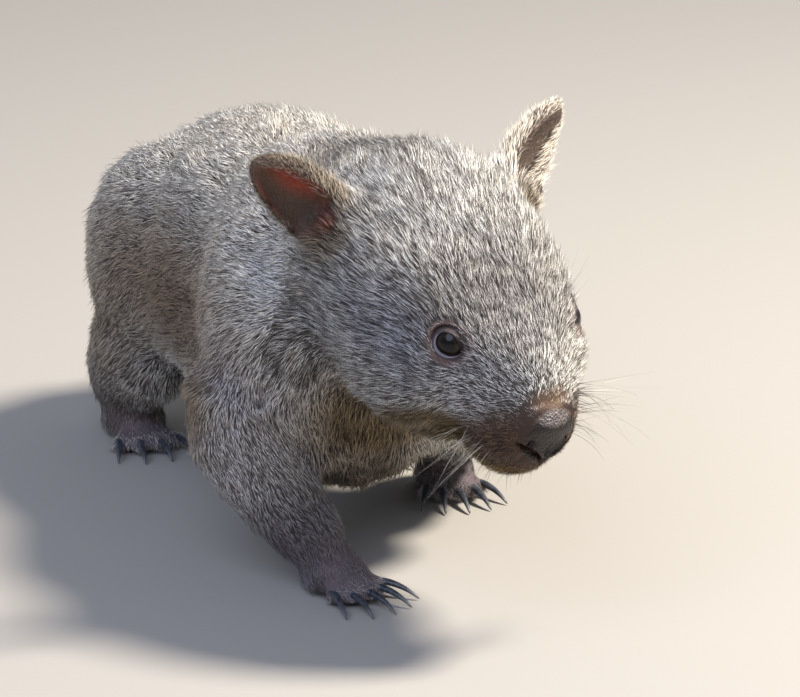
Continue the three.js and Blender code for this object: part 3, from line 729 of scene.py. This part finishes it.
# how far apart locks stand, how deep a root is in the skin, and how far hairs stay over the floor
LOCK, ROOT_DEEP, OVER_FLOOR = 1.9 * MM, 0.25 * MM, 0.3 * MM
coat = coat_at(roots)
lie = unit(coat["lie"] - root_normals * (coat["lie"] * root_normals).sum(1, keepdims=True))
swirl = sum(degrees * waves(roots, wide) for degrees, wide in SWIRLS)
turn = np.radians(swirl + dice.normal(0, STRAY, hairs))
lie = lie * np.cos(turn)[:, None] + np.cross(root_normals, lie) * np.sin(turn)[:, None]
across = np.cross(root_normals, lie)
guard = dice.random(hairs) < GUARDS
cup = in_cup(roots, root_normals)
length = coat["length"] * MM * np.where(guard, GUARD_LONG, 1) * dice.uniform(*LENGTHS, hairs)
length = length * (1 - CUP_SHORT * cup)
lift = coat["lift"] + 6 * waves(roots, 14 * MM) + dice.normal(0, 5, hairs)
lift = np.radians(lift + np.where(guard, GUARD_STEEP, 0) - CUP_FLAT * cup)
low, high = lift + LEAVES, lift - ENDS
middle = lie * np.cos(low)[:, None] + root_normals * np.sin(low)[:, None]
end = lie * np.cos(high)[:, None] + root_normals * np.sin(high)[:, None]
roots = roots - root_normals * ROOT_DEEP
middles = roots + middle * length[:, None] * 0.5
tips = middles + end * length[:, None] * 0.5
lock_cell = np.floor((tips + 0.4 * LOCK * waves(tips, 7 * MM)[:, None]) / LOCK).astype(np.int64)
_, lock = np.unique(lock_cell @ (1, 4096, 4096**2), return_inverse=True)
lock_size = np.bincount(lock)
lock_tip = np.stack([np.bincount(lock, tips[:, axis]) / lock_size for axis in range(3)], 1)[lock]
tips = tips + (lock_tip - tips) * dice.uniform(*LEANS, hairs)[:, None]
for ends in (middles, tips):
    ends[:, 2] = np.maximum(ends[:, 2], OVER_FLOOR)
half_width = coat["width"] * MM / 2 * dice.uniform(*WIDTHS, hairs)
lock_tint = dice.random(len(lock_size))[lock]
tint = 0.8 * dice.beta(1.3, 1.3, hairs) + 0.2 * lock_tint + 0.06 * waves(roots, 5 * MM)
tint = np.clip(tint * (1 - CUP_DARK * cup), 0, 1)
print("hairs are", round(length.min() / MM, 1), "to", round(length.max() / MM, 1), "mm long")

# %% Part the coat in pieces and build them
SHORT_GROUPS = {"face", "ears", "paws"}
MOST_FACES = 190_000
coat_pieces = []
for group in sorted(set(coat["group"])):
    mine = np.flatnonzero(coat["group"] == group)
    shape = short_hair if group in SHORT_GROUPS else long_hair
    parts = math.ceil(len(mine) * len(shape[1]) / MOST_FACES)
    mine = mine[np.argsort(roots[mine, 0], kind="stable")]
    for number, some in enumerate(np.array_split(mine, parts)):
        name = f"coat_{group}_{number + 1}"
        values = (values[some] for values in (roots, middles, tips, across, half_width, tint, root_map))
        piece = strands(name, shape, *values)
        coat_pieces.append(piece)
        print(name, len(piece.data.polygons), "faces")
print("the coat has", sum(len(piece.data.polygons) for piece in coat_pieces), "faces in all")

# %% [markdown]
# ## Eyes
# A wombat's eye is a dark ball with a brown iris that shows only near its edge, a wide pupil and a clear,
# bulging cornea. A sphere from an operator is enough when its front is drawn out a little, and the wet
# cornea is a clear coat in the material, which gives the sharp highlight of a living eye.

# %% Make the eyes
# outer radii of the pupil, the iris and the cornea, and how far the cornea bulges
PUPIL, IRIS, CORNEA, BULGE = 2.7, 3.9, 4.3, 0.35
eye_pieces = {}
for side, matrix in eye_frames.items():
    bm = bmesh.new()
    bmesh.ops.create_uvsphere(bm, u_segments=64, v_segments=40, radius=EYE_RADIUS)
    for vert in bm.verts:
        off_axis = math.hypot(vert.co.x, vert.co.y)
        if vert.co.z > 0:
            vert.co.z += BULGE * (1 - min(off_axis / CORNEA, 1) ** 2)
    bmesh.ops.transform(bm, verts=bm.verts, matrix=matrix)
    bmesh.ops.recalc_face_normals(bm, faces=bm.faces)
    piece = new_piece(f"eyeball_{side}", bm)
    piece.data.polygons.foreach_set("use_smooth", np.ones(len(piece.data.polygons), bool))
    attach(piece, "root")
    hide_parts(f"eye_{side}")
    eye_pieces[side] = piece
print("the eyes stand", EYE_RADIUS + BULGE, "mm out from their middles")

# %% [markdown]
# ## Claws
# Each claw is a blunt, slightly hooked horn, thicker at its root inside the toe. The frame's claws are
# coarse, so each is drawn again on the same curve with more sides, and the claws of a paw are one piece.

# %% Make the claws
claw_shape = unit_strand(14, [k / 12 for k in range(1, 12)], lambda u: 1 - 0.8 * u**1.6, flat=0.8)
# how far a claw reaches back into its toe, and how high its middle arches
CLAW_ROOT, CLAW_ARCH = 3, 0.6
claw_pieces = []
for name, ((x, y), heading, kind) in PAWS.items():
    size = PAW_KINDS[kind]
    claw_length, thick, drop = size["claw"]
    paw_frame = body_frame @ Matrix.Translation((x, y, 0)) @ Matrix.Rotation(math.radians(heading), 4, "Z")
    toe_length, toe_height = size["toe"]
    ends, claw_nodes = [], []
    for number, angle in enumerate(map(math.radians, size["toes"])):
        toe_end = level(angle) * (size["from"] + toe_length * 0.6 * math.cos(angle) + toe_length - 2)
        start = toe_end + Vector((0, 0, toe_height + 0.1))
        out = level(angle / 2)
        curve = (start - out * CLAW_ROOT, start + out * claw_length * 0.5 + Vector((0, 0, CLAW_ARCH)))
        curve += (start + out * claw_length - Vector((0, 0, drop)), out.cross(Vector((0, 0, 1))) * -1)
        ends.append(curve)
        count_up = number + 1 if name.endswith("right") else len(size["toes"]) - number
        claw_nodes.append(f"claw_{name}_{count_up}")
    root, middle, tip = (carried(paw_frame, [end[k] for end in ends]) for k in range(3))
    sideways = unit(carried(paw_frame, [end[3] for end in ends]) - np.array(paw_frame.translation))
    half = np.full(len(ends), thick * MM)
    piece = strands(f"claws_{name}", claw_shape, root, middle, tip, sideways, half, np.zeros(len(ends)))
    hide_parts(*claw_nodes)
    claw_pieces.append(piece)
    lowest = coordinates(piece.data)[:, 2].min() / MM
    print(piece.name, len(piece.data.polygons), "faces, lowest", round(lowest, 2), "mm")

# %% [markdown]
# ## Whiskers and brow hairs
# Whiskers are long, stiff and taper to nothing. They root in rows on the side of the muzzle and sweep out,
# back and down. They use the same strands as the coat, cut in more steps so that they bend evenly, and find
# their root by the nearest point of the skin.

# %% Make the whiskers
whisker_shape = unit_strand(5, [k / 7 for k in range(1, 7)], lambda u: 1 - 0.85 * u)
# middle place, spread, count, lengths, direction in the head's axes, droop, half width, tints, signs of y
# two rows at the far side of the muzzle, two at the near one, then the chin, jaws, brows and cheeks
WHISKERS = [
    ((86, 17, -17), (4, 1, 6), 30, (26, 44), (0.1, 1, -0.1), 12, 0.16, (0.45, 1), (1,)),
    ((83, 16, -27), (5, 1, 3), 16, (18, 32), (0.05, 1, -0.55), 8, 0.13, (0.45, 1), (1,)),
    ((86, 18, -22), (6, 1, 5), 10, (26, 40), (-0.5, 0.35, -1), 6, 0.1, (0.8, 1), (-1,)),
    ((80, 18, -28), (6, 2, 3), 9, (13, 22), (-0.6, 0.4, -1), 3, 0.1, (0.7, 1), (-1,)),
    ((78, 8, -47), (9, 7, 1), 34, (6, 12), (-0.2, 0.15, -1), 1, 0.07, (0, 0.7), (-1, 1)),
    ((66, 20, -44), (9, 4, 3), 20, (7, 13), (-0.5, 0.4, -0.9), 1, 0.07, (0, 0.6), (-1, 1)),
    ((62, 27, 12), (3, 2, 2), 4, (12, 18), (0.1, 0.6, 1), -1, 0.09, (0.6, 1), (-1, 1)),
    ((40, 42, -24), (3, 2, 3), 3, (15, 20), (-0.5, 0.8, -0.4), 2, 0.09, (0.6, 1), (-1, 1)),
]
# how far a whisker sweeps back, as a share of its length, and how deep its root is in the skin
SWEEP, WHISKER_DEEP = 0.35, 0.4 * MM
spots, curves, details = [], [], []
for place, reach_of, number, lengths, toward, droop, half, tints, signs in WHISKERS:
    for sign in signs:
        for _ in range(number):
            spot = mirrored(np.array(place) + dice.uniform(-1, 1, 3) * reach_of, sign)
            way = unit(np.array(mirrored(toward, sign)) + dice.normal(0, 0.2, 3))
            reach = dice.uniform(*lengths)
            bend = np.array((-SWEEP * reach * abs(way[1]), 0, -droop)) * dice.uniform(0.6, 1.4)
            spots.append(spot)
            curves.append((way * reach * 0.5, way * reach + bend))
            details.append((half * MM, dice.uniform(*tints)))
spots = carried(head_frame, spots)
nearest = [np.argmin(((skin_points - spot) ** 2).sum(1)) for spot in spots]
turn = np.array(head_frame)[:3, :3]
root = skin_points[nearest] - skin_normals[nearest] * WHISKER_DEEP
middle = root + np.array([curve[0] for curve in curves]) @ turn.T
tip = root + np.array([curve[1] for curve in curves]) @ turn.T
sideways = unit(np.cross(tip - root, (0, 0, 1)))
half_widths, tints = np.array(details).T
whiskers = strands("whiskers", whisker_shape, root, middle, tip, sideways, half_widths, tints)
print(len(root), "whiskers")

# %% [markdown]
# ## Colours by place
# The skin and the hairs on it take their colours from the same marks, so that a hair and the skin below it
# never disagree. Each mark is a soft ellipsoid set in the body's or the head's axes. A Mapping node of the
# texture kind carries a point into it, a spherical gradient fades it, and a Mix node lays its colour over
# the ones before.

# %% Helpers for materials
def linear(code):
    """An sRGB hex colour as linear red, green, blue and alpha."""
    parts = [int(code[k : k + 2], 16) / 255 for k in (1, 3, 5)]
    return (*[part / 12.92 if part <= 0.04045 else ((part + 0.055) / 1.055) ** 2.4 for part in parts], 1)


def fill(tree, node, sockets):
    """Links each socket to the output it is given, or sets its number or colour."""
    for socket, source in sockets.items():
        if isinstance(source, bpy.types.NodeSocket):
            tree.links.new(source, node.inputs[socket])
        else:
            node.inputs[socket].default_value = source


def add(tree, kind, sockets=None, output=0, **settings):
    """Adds a node, sets its properties, fills its sockets, and gives one of its outputs."""
    node = tree.nodes.new("ShaderNode" + kind)
    for key, value in settings.items():
        setattr(node, key, value)
    fill(tree, node, sockets or {})
    return node.outputs[output]


def material(name):
    """An empty material, its tree and its Principled shader."""
    made = bpy.data.materials.new(name)
    made.use_nodes = True
    return made, made.node_tree, made.node_tree.nodes["Principled BSDF"]


# A Mix of colours takes its factor at socket 0 and its colours at 6 and 7, and gives the mix at output 2.
# A Map Range takes its value at 0, the range it comes from at 1 and 2, and the range it goes to at 3 and 4.
COLOURS = {"output": 2, "data_type": "RGBA"}
SMOOTH = {"interpolation_type": "SMOOTHSTEP"}

# %% The marks
COAT_COLOURS = ("#a39b94", "#fffdf8", "#433b36")
# place, half sizes, fade from the edge, colour of the hair, colour of its tip, colour of bare skin
# the cheek, the base of the ear, the ring round the eye, and beside the crown, painted pale as light, on
# both sides
CHEEK_MARKS = [
    ((44, 36, -6), (30, 22, 20), 0.8, "#8e8a92", "#e9e8ec", "#4b4543"),
    ((5, 41, 10), (19, 17, 18), 0.8, "#6f614f", "#baa98d", "#41372e"),
    ((66, 24, 1), (10, 10, 10), 0.6, "#7c6c68", "#bfb1ad", "#665650"),
    # painted light: fur beside the crown made pale where it faces away from the lamp
    ((-3, 18, 27), (22, 16, 15), 0.8, "#c9c2b8", "#ffffff", "#5a514a"),
]
# the brow down to the nose, the underside of the head, the muzzle, the chin, and the bridge of the nose,
# whose pale rim over the pad is partly painted highlight
HEAD_MARKS = [
    ((55, 0, 8), (41, 50, 31), 0.8, "#59514d", "#b6b1ad", "#342d2a"),
    ((66, 0, -46), (40, 48, 36), 0.22, "#665239", "#aa9165", "#3c3022"),
    ((90, 0, -28), (24, 36, 22), 0.45, "#462d20", "#93765f", "#3c281d"),
    ((83, 0, -46), (24, 24, 15), 0.4, "#5c4622", "#bb9b57", "#432f12"),
    # partly painted highlight: the pale rim of the bridge just over the nose pad
    ((91.5, 2, -9), (6.5, 11, 6.5), 0.8, "#826c5b", "#dccabc", "#755d4b"),
]
# each ear's rim and back, the edge of its cup, and the cup; the near ear's bare cup is its own blood red,
# made brighter as a painted glow of light shining through it
EAR_MARKS = {
    "right": [
        ((22, 0, 1), (27, 26, 9), 0.3, "#6d6152", "#ab9c86", "#5b473a"),
        ((17, -2.5, 3), (22, 11, 6), 0.4, "#66402f", "#a08370", "#7d3829"),
        # painted glow: light shining through the near ear, over the cup's own red
        ((16, 0.5, 2), (18, 8, 8), 0.7, "#6f382d", "#a87564", "#bb3f2b"),
    ],
    "left": [
        ((22, 0, 1), (27, 30, 9), 0.3, "#8e857a", "#f1e8da", "#6b5a50"),
        ((16, 4, 3), (21, 10, 7), 0.5, "#51433d", "#998d85", "#60443b"),
        ((16, 3, 2), (15, 6, 7), 0.8, "#5f4037", "#a08a80", "#8c4435"),
    ],
}
# Here each row gives one place or two: the back, paler on top partly as painted light, both flanks, the
# top of the neck, the chest, the belly, the rump, each foreleg, their lower parts, the elbows, the right
# side of the neck, painted pale as light, the hind legs, partly darkened as painted shade, their lower
# parts, each forepaw, and the hindpaws.
BODY_MARKS = [
    # partly painted light: the top half of the trunk made pale, as where the lamp falls on it, over its own
    # grey
    ([(-50, 4, 152)], (150, 70, 56), 0.7, "#c2b7a9", "#fffbf2", "#574d45"),
    ([(-15, -58, 80), (-15, 62, 80)], (125, 34, 60), 0.8, "#58483b", "#9c8672", "#42372f"),
    ([(72, 0, 152)], (44, 56, 34), 0.7, "#726a64", "#b3aea8", "#4a423c"),
    ([(88, -2, 62)], (52, 44, 38), 0.7, "#5f4e3a", "#9f8967", "#3e3123"),
    ([(0, 2, 26)], (130, 52, 34), 0.5, "#42362a", "#766651", "#352b22"),
    ([(-150, 18, 70)], (36, 50, 50), 0.8, "#877c70", "#cbc1b3", "#625649"),
    ([(62, -44, 62)], (40, 30, 52), 0.7, "#87807f", "#d9d5d8", "#57504e"),
    ([(14, 50, 58)], (40, 26, 50), 0.7, "#87807f", "#d9d5d8", "#57504e"),
    ([(80, -30, 22), (-2, 54, 22)], (34, 28, 34), 0.8, "#484245", "#827c80", "#3f3838"),
    ([(56, -68, 66), (8, 72, 62)], (26, 18, 36), 0.8, "#675a4c", "#a89984", "#443b32"),
    # painted light: a nearly white patch on the right side of the neck, where it lies in shade
    ([(86, -44, 118)], (22, 16, 22), 0.8, "#c8c4c3", "#ffffff", "#5d5654"),
    # partly painted shade: the hind legs' own brown made darker, as in a cast shadow
    ([(-94, -40, 48), (-66, 56, 48)], (38, 30, 40), 0.8, "#635548", "#a89782", "#483e34"),
    ([(-112, -36, 20), (-76, 54, 20)], (36, 28, 34), 0.8, "#574e48", "#968b82", "#453d38"),
    ([(88, -24, 10)], (30, 28, 20), 0.7, "#696264", "#989195", "#655759"),
    ([(-8, 56, 10)], (30, 26, 20), 0.7, "#696264", "#989195", "#655759"),
    ([(-112, -34, 8), (-72, 52, 8)], (40, 26, 20), 0.7, "#6f6460", "#a89c96", "#5b4c4a"),
]
marks = [(body_frame, place, *rest) for places, *rest in BODY_MARKS for place in places]
marks += [(head_frame, *mark) for mark in HEAD_MARKS]
for sign in SIDES.values():
    marks += [(head_frame, mirrored(place, sign), *rest) for place, *rest in CHEEK_MARKS]
for side, matrix in ear_frames.items():
    marks += [(matrix, mirrored(place, CROWNWARD[side]), *rest) for place, *rest in EAR_MARKS[side]]


def inside_of(tree, place, matrix, centre, halves, fade):
    """1 inside a soft ellipsoid given in a frame's millimetres."""
    settings = {"Vector": place, "Location": matrix @ Vector(centre), "Rotation": matrix.to_euler()}
    settings["Scale"] = Vector(halves) * MM
    into = add(tree, "Mapping", settings, vector_type="TEXTURE")
    ball = add(tree, "TexGradient", {"Vector": into}, gradient_type="SPHERICAL")
    return add(tree, "MapRange", {0: ball, 1: 0.0, 2: fade}, **SMOOTH)


def marked(tree, place):
    """The hair, tip and bare colours at a place, as three sockets."""
    colours = [linear(code) for code in COAT_COLOURS]
    for matrix, centre, halves, fade, *codes in marks:
        inside = inside_of(tree, place, matrix, centre, halves, fade)
        for k, code in enumerate(codes):
            colours[k] = add(tree, "Mix", {0: inside, 6: colours[k], 7: linear(code)}, **COLOURS)
    return colours


print(len(marks), "marks")

# %% [markdown]
# ## Grizzled wombat hair
# Keratin hair has an index of 1.55 and a dull shine. Each hair is dark at its root and taupe along its
# length, and about half of those on the face and three in four on the body are silver at the tip, which
# makes the coat look frosted. The share along the hair and a number of its own are stored on every point.

# %% Hair materials
# shares along a hair between which its dark root ends; how long the turn to silver is, along it and in tint
ROOT_ENDS, TO_SILVER, TO_FROST = (0.1, 0.6), 0.4, 0.16
# tints between which a hair goes from its darkest to its brightest, and how bright that is
TINTS, BRIGHTEST = (0.15, 0.85), 1.2


def hair_material(name, frost, silvery, darkest, root_value):
    """Dark roots and frosted tips: above the tint frost a hair turns silver from the share silvery on."""
    made, tree, shader = material(name)
    under, tip, _ = marked(tree, add(tree, "TexCoord", output="Object"))
    along, tint = (add(tree, "Attribute", output="Fac", attribute_name=key) for key in ("along", "tint"))
    root = add(tree, "HueSaturation", {"Value": root_value, "Color": under})
    past_root = add(tree, "MapRange", {0: along, 1: ROOT_ENDS[0], 2: ROOT_ENDS[1]}, **SMOOTH)
    shaft = add(tree, "Mix", {0: past_root, 6: root, 7: under}, **COLOURS)
    at_tip = add(tree, "MapRange", {0: along, 1: silvery, 2: silvery + TO_SILVER}, **SMOOTH)
    frosted = add(tree, "MapRange", {0: tint, 1: frost, 2: frost + TO_FROST}, **SMOOTH)
    silver = add(tree, "Math", {0: at_tip, 1: frosted}, operation="MULTIPLY")
    colour = add(tree, "Mix", {0: silver, 6: shaft, 7: tip}, **COLOURS)
    own = add(tree, "MapRange", {0: tint, 1: TINTS[0], 2: TINTS[1], 3: darkest, 4: BRIGHTEST}, **SMOOTH)
    colour = add(tree, "HueSaturation", {"Value": own, "Color": colour})
    fill(tree, shader, {"Base Color": colour, "Roughness": 0.42, "IOR": 1.55})
    return made


face_hair = hair_material("grizzled face hair", 0.5, 0.1, 0.28, 0.22)
body_hair = hair_material("grizzled body hair", 0.32, 0.2, 0.84, 0.6)
for piece in coat_pieces:
    piece.data.materials.append(face_hair if "face" in piece.name else body_hair)
print("hair on", len(coat_pieces), "pieces")

# %% [markdown]
# ## Skin
# Mammal skin has an index of 1.4. Under the coat it is hardly seen and stays matt. The nose is granular
# leather with a little more shine, its top painted paler as lit and its front darker as shaded. Creases and
# the fold round each eye get painted shade, and the cup of the ear is red: its own blood colour, made
# stronger on the near ear as a painted glow of light shining through it. Fine noise gives the pores, a cell
# pattern the grain of the nose.

# %% Skin material
# how far out, shift towards the nose and up, how soft, colour: from the bare skin in to the lid's edges
LID_BANDS = [
    (2.25, 0.0, 0.1, 0.2, "#6b5750"),
    # painted shade: a dark ring in the fold round the eye, thicker above it, under the upper lid
    (1.62, 0.2, 0.6, 0.1, "#3a2e2c"),
    (1.4, 0.0, 0.2, 0.07, "#524746"),
    (1.15, -0.35, -0.35, 0.06, "#84828c"),
    (1.13, 0.2, 0.4, 0.06, "#211919"),
]
# the nose's grains are 0.8 mm apart; pores are finer in life, and are drawn as coarse as they need to show
GRAIN, PORE = 0.8 * MM, 0.8 * MM
skin_leather, tree, shader = material("bare and furred wombat skin")
place = add(tree, "TexCoord", output="Object")
_, _, colour = marked(tree, place)
nose_pad = inside_of(tree, place, head_frame, PAD_AT, PAD_SIZE, 0.08)
# painted light and shade: the pad's top, which faces up, is painted paler and its front darker
lit_nose_top = inside_of(tree, place, head_frame, (94, NOSE_SIDE, -10), (12, 10, 8), 0.3)
pad = add(tree, "Mix", {0: lit_nose_top, 6: linear("#1c1614"), 7: linear("#665e5b")}, **COLOURS)
layers = [(nose_pad, pad)]
for side, matrix in eye_frames.items():
    for out, ahead, upward, fade, code in LID_BANDS:
        middle = (ahead * NOSEWARD[side], upward, 0)
        band = inside_of(tree, place, matrix, middle, (LID_WIDE * out, LID_HIGH * out, 20), fade)
        layers.append((band, linear(code)))
for (x, y), heading, kind in PAWS.values():
    toes = Vector((x, y, 4)) + level(math.radians(heading)) * (PAW_KINDS[kind]["from"] + 4)
    layers.append((inside_of(tree, place, body_frame, toes, (18, 18, 9), 0.4), linear("#665a5e")))
# painted shade: the deeper a dent, the darker the skin in it
pressed = add(tree, "Attribute", output="Fac", attribute_name="crease")
layers.append((add(tree, "MapRange", {0: pressed, 1: 0.25, 2: 0.9}, **SMOOTH), linear("#2a1a16")))
for inside, laid in layers:
    colour = add(tree, "Mix", {0: inside, 6: colour, 7: laid}, **COLOURS)
grain = add(tree, "TexVoronoi", {"Vector": place, "Scale": 1 / GRAIN}, feature="F1")
pores = add(tree, "TexNoise", {"Vector": place, "Scale": 1 / PORE, "Detail": 3.0})
speckle = add(tree, "MapRange", {0: grain, 1: 0.15, 2: 0.75, 3: 0.55, 4: 1.6}, **SMOOTH)
speckled = add(tree, "HueSaturation", {"Value": speckle, "Color": colour})
colour = add(tree, "Mix", {0: nose_pad, 6: colour, 7: speckled}, **COLOURS)
mottle = add(tree, "MapRange", {0: pores, 1: 0.3, 2: 0.7, 3: 0.86, 4: 1.1}, **SMOOTH)
colour = add(tree, "HueSaturation", {"Value": mottle, "Color": colour})
relief = add(tree, "Mix", {0: nose_pad, 2: pores, 3: grain})
bump = add(tree, "Bump", {"Height": relief, "Strength": 1.0, "Distance": 0.5 * MM})
dull = add(tree, "MapRange", {0: nose_pad, 3: 0.62, 4: 0.4}, **SMOOTH)
fill(tree, shader, {"Base Color": colour, "Normal": bump, "Roughness": dull, "IOR": 1.4})
skin.data.materials.append(skin_leather)
print("the skin's material has", len(tree.nodes), "nodes")

# %% [markdown]
# ## Eyes, claws and whiskers
# The cornea is a clear coat of index 1.38 over a nearly black pupil and a dark brown iris. Claws are horn:
# slate grey, streaked along their length, with a low shine. Whiskers are the same keratin, nearly white.

# %% Eye material
# specks of the iris to a millimetre
RAYS_PER_MM = 3.5
for side, matrix in eye_frames.items():
    eye_look, tree, shader = material(f"wet eye {side}")
    place = add(tree, "TexCoord", output="Object")
    at_eye = {"Location": matrix.translation, "Rotation": matrix.to_euler(), "Scale": (MM, MM, MM)}
    into = add(tree, "Mapping", {"Vector": place, **at_eye}, vector_type="TEXTURE")
    flat = add(tree, "VectorMath", {0: into, 1: (1, 1, 0)}, operation="MULTIPLY")
    off_axis = add(tree, "VectorMath", {0: flat}, "Value", operation="LENGTH")
    rays = add(tree, "TexNoise", {"Vector": into, "Scale": RAYS_PER_MM, "Detail": 2.0})
    iris = add(tree, "Mix", {0: rays, 6: linear("#0f0a08"), 7: linear("#2a1d16")}, **COLOURS)
    colour = linear("#030304")
    for edge, outside in ((PUPIL, iris), (IRIS, linear("#0d0a0a"))):
        past = add(tree, "MapRange", {0: off_axis, 1: edge, 2: edge + 0.4}, **SMOOTH)
        colour = add(tree, "Mix", {0: past, 6: colour, 7: outside}, **COLOURS)
    wet = {"Coat Weight": 0.7, "Coat Roughness": 0.02, "Coat IOR": 1.38}
    ball = {"Base Color": colour, "Roughness": 0.35, "IOR": 1.38, "Specular IOR Level": 0.1}
    fill(tree, shader, {**ball, **wet})
    eye_pieces[side].data.materials.append(eye_look)
print("the iris shows from", PUPIL, "to", IRIS, "mm off the eye's axis")

# %% Claw and whisker materials
# streaks of horn are drawn 1.6 mm apart, coarser than in life, so that they show
STREAK = 1.6 * MM
horn, tree, shader = material("slate grey claw horn")
place = add(tree, "TexCoord", output="Object")
streaks = add(tree, "TexNoise", {"Vector": place, "Scale": 1 / STREAK, "Detail": 4.0})
along = add(tree, "Attribute", output="Fac", attribute_name="along")
streaky = add(tree, "MapRange", {0: streaks, 1: 0.35, 2: 0.65}, **SMOOTH)
colour = add(tree, "Mix", {0: streaky, 6: linear("#272b34"), 7: linear("#444852")}, **COLOURS)
worn = add(tree, "MapRange", {0: along, 1: 0.55, 2: 1.0, 4: 0.6}, **SMOOTH)
colour = add(tree, "Mix", {0: worn, 6: colour, 7: linear("#757578")}, **COLOURS)
bump = add(tree, "Bump", {"Height": streaks, "Strength": 0.3, "Distance": 0.15 * MM})
fill(tree, shader, {"Base Color": colour, "Normal": bump, "Roughness": 0.38, "IOR": 1.55})
for piece in claw_pieces:
    piece.data.materials.append(horn)
bristle, tree, shader = material("pale whisker keratin")
along, tint = (add(tree, "Attribute", output="Fac", attribute_name=key) for key in ("along", "tint"))
paler = add(tree, "MapRange", {0: tint, 1: 0.3, 2: 0.95}, **SMOOTH)
shaft = add(tree, "Mix", {0: paler, 6: linear("#2b2521"), 7: linear("#e2dccf")}, **COLOURS)
past_root = add(tree, "MapRange", {0: along, 1: 0.0, 2: 0.3}, **SMOOTH)
colour = add(tree, "Mix", {0: past_root, 6: linear("#5a4a40"), 7: shaft}, **COLOURS)
fill(tree, shader, {"Base Color": colour, "Roughness": 0.35, "IOR": 1.55})
whiskers.data.materials.append(bristle)
print("horn on", len(claw_pieces), "pieces, and keratin on the whiskers")

# %% [markdown]
# ## Floor, light and camera
# A plain pale floor carries the animal. A round panel high on its left is small enough to part the lit
# hairs from the shaded ones, a wide bluish panel ahead and to its right fills the shadows, and a dim sky is
# around. The camera has a long lens and looks down a little from 1.8 m away, which gives the picture's
# perspective.

# %% Floor
bm = bmesh.new()
bmesh.ops.create_grid(bm, x_segments=1, y_segments=1, size=4)
floor = new_piece("floor", bm)
pale, tree, shader = material("pale matt floor")
fill(tree, shader, {"Base Color": linear("#aaa6a0"), "Roughness": 0.9})
floor.data.materials.append(pale)
print("the floor spans", np.ptp(coordinates(floor.data), axis=0), "m")

# %% Light
world = bpy.data.worlds.new("studio")
bpy.context.scene.world = world
world.use_nodes = True
sky = world.node_tree.nodes["Background"]
fill(world.node_tree, sky, {"Color": linear("#cdd3df"), "Strength": 0.5})
# where the lights are turned to
HEART = Vector((0.03, 0, 0.1))


def panel(name, place, size, watts, code):
    """A round light at a place, as wide as its size in metres, turned to the animal."""
    lamp = bpy.data.lights.new(name, "AREA")
    lamp.shape = "DISK"
    lamp.size, lamp.energy, lamp.color = size, watts, linear(code)[:3]
    holder = put(name, lamp)
    holder.location = place
    holder.rotation_euler = (HEART - Vector(place)).to_track_quat("-Z", "Y").to_euler()
    print("the", name, "has", watts, "W and is", size, "m wide")


panel("sun panel", (0.3, 0.8, 1.46), 0.36, 54, "#fff6e8")
panel("fill panel", (1.15, -1.15, 1.5), 1.9, 28, "#d2deff")

# %% Camera
LENS_PIXELS, PICTURE_WIDTH, SENSOR = 5190, 800, 36
camera_data = bpy.data.cameras.new("camera")
camera_data.sensor_width = SENSOR
camera_data.lens = LENS_PIXELS / PICTURE_WIDTH * SENSOR
camera = put("camera", camera_data)
AZIMUTH, ELEVATION, DISTANCE = math.radians(70), math.radians(17), 1.8
slope = math.cos(ELEVATION)
back = Vector((math.sin(AZIMUTH) * slope, -math.cos(AZIMUTH) * slope, math.sin(ELEVATION)))
AIM = Vector((95.65, -7.445, 94.43)) * MM
camera.location = AIM + back * DISTANCE
camera.rotation_euler = back.to_track_quat("Z", "Y").to_euler()
camera_data.clip_start, camera_data.clip_end = 0.1, 20
bpy.context.scene.camera = camera
bpy.context.scene.view_settings.view_transform = "Standard"
print("the camera stands at", [round(value, 3) for value in camera.location])

# %% Finish
bpy.context.view_layer.update()
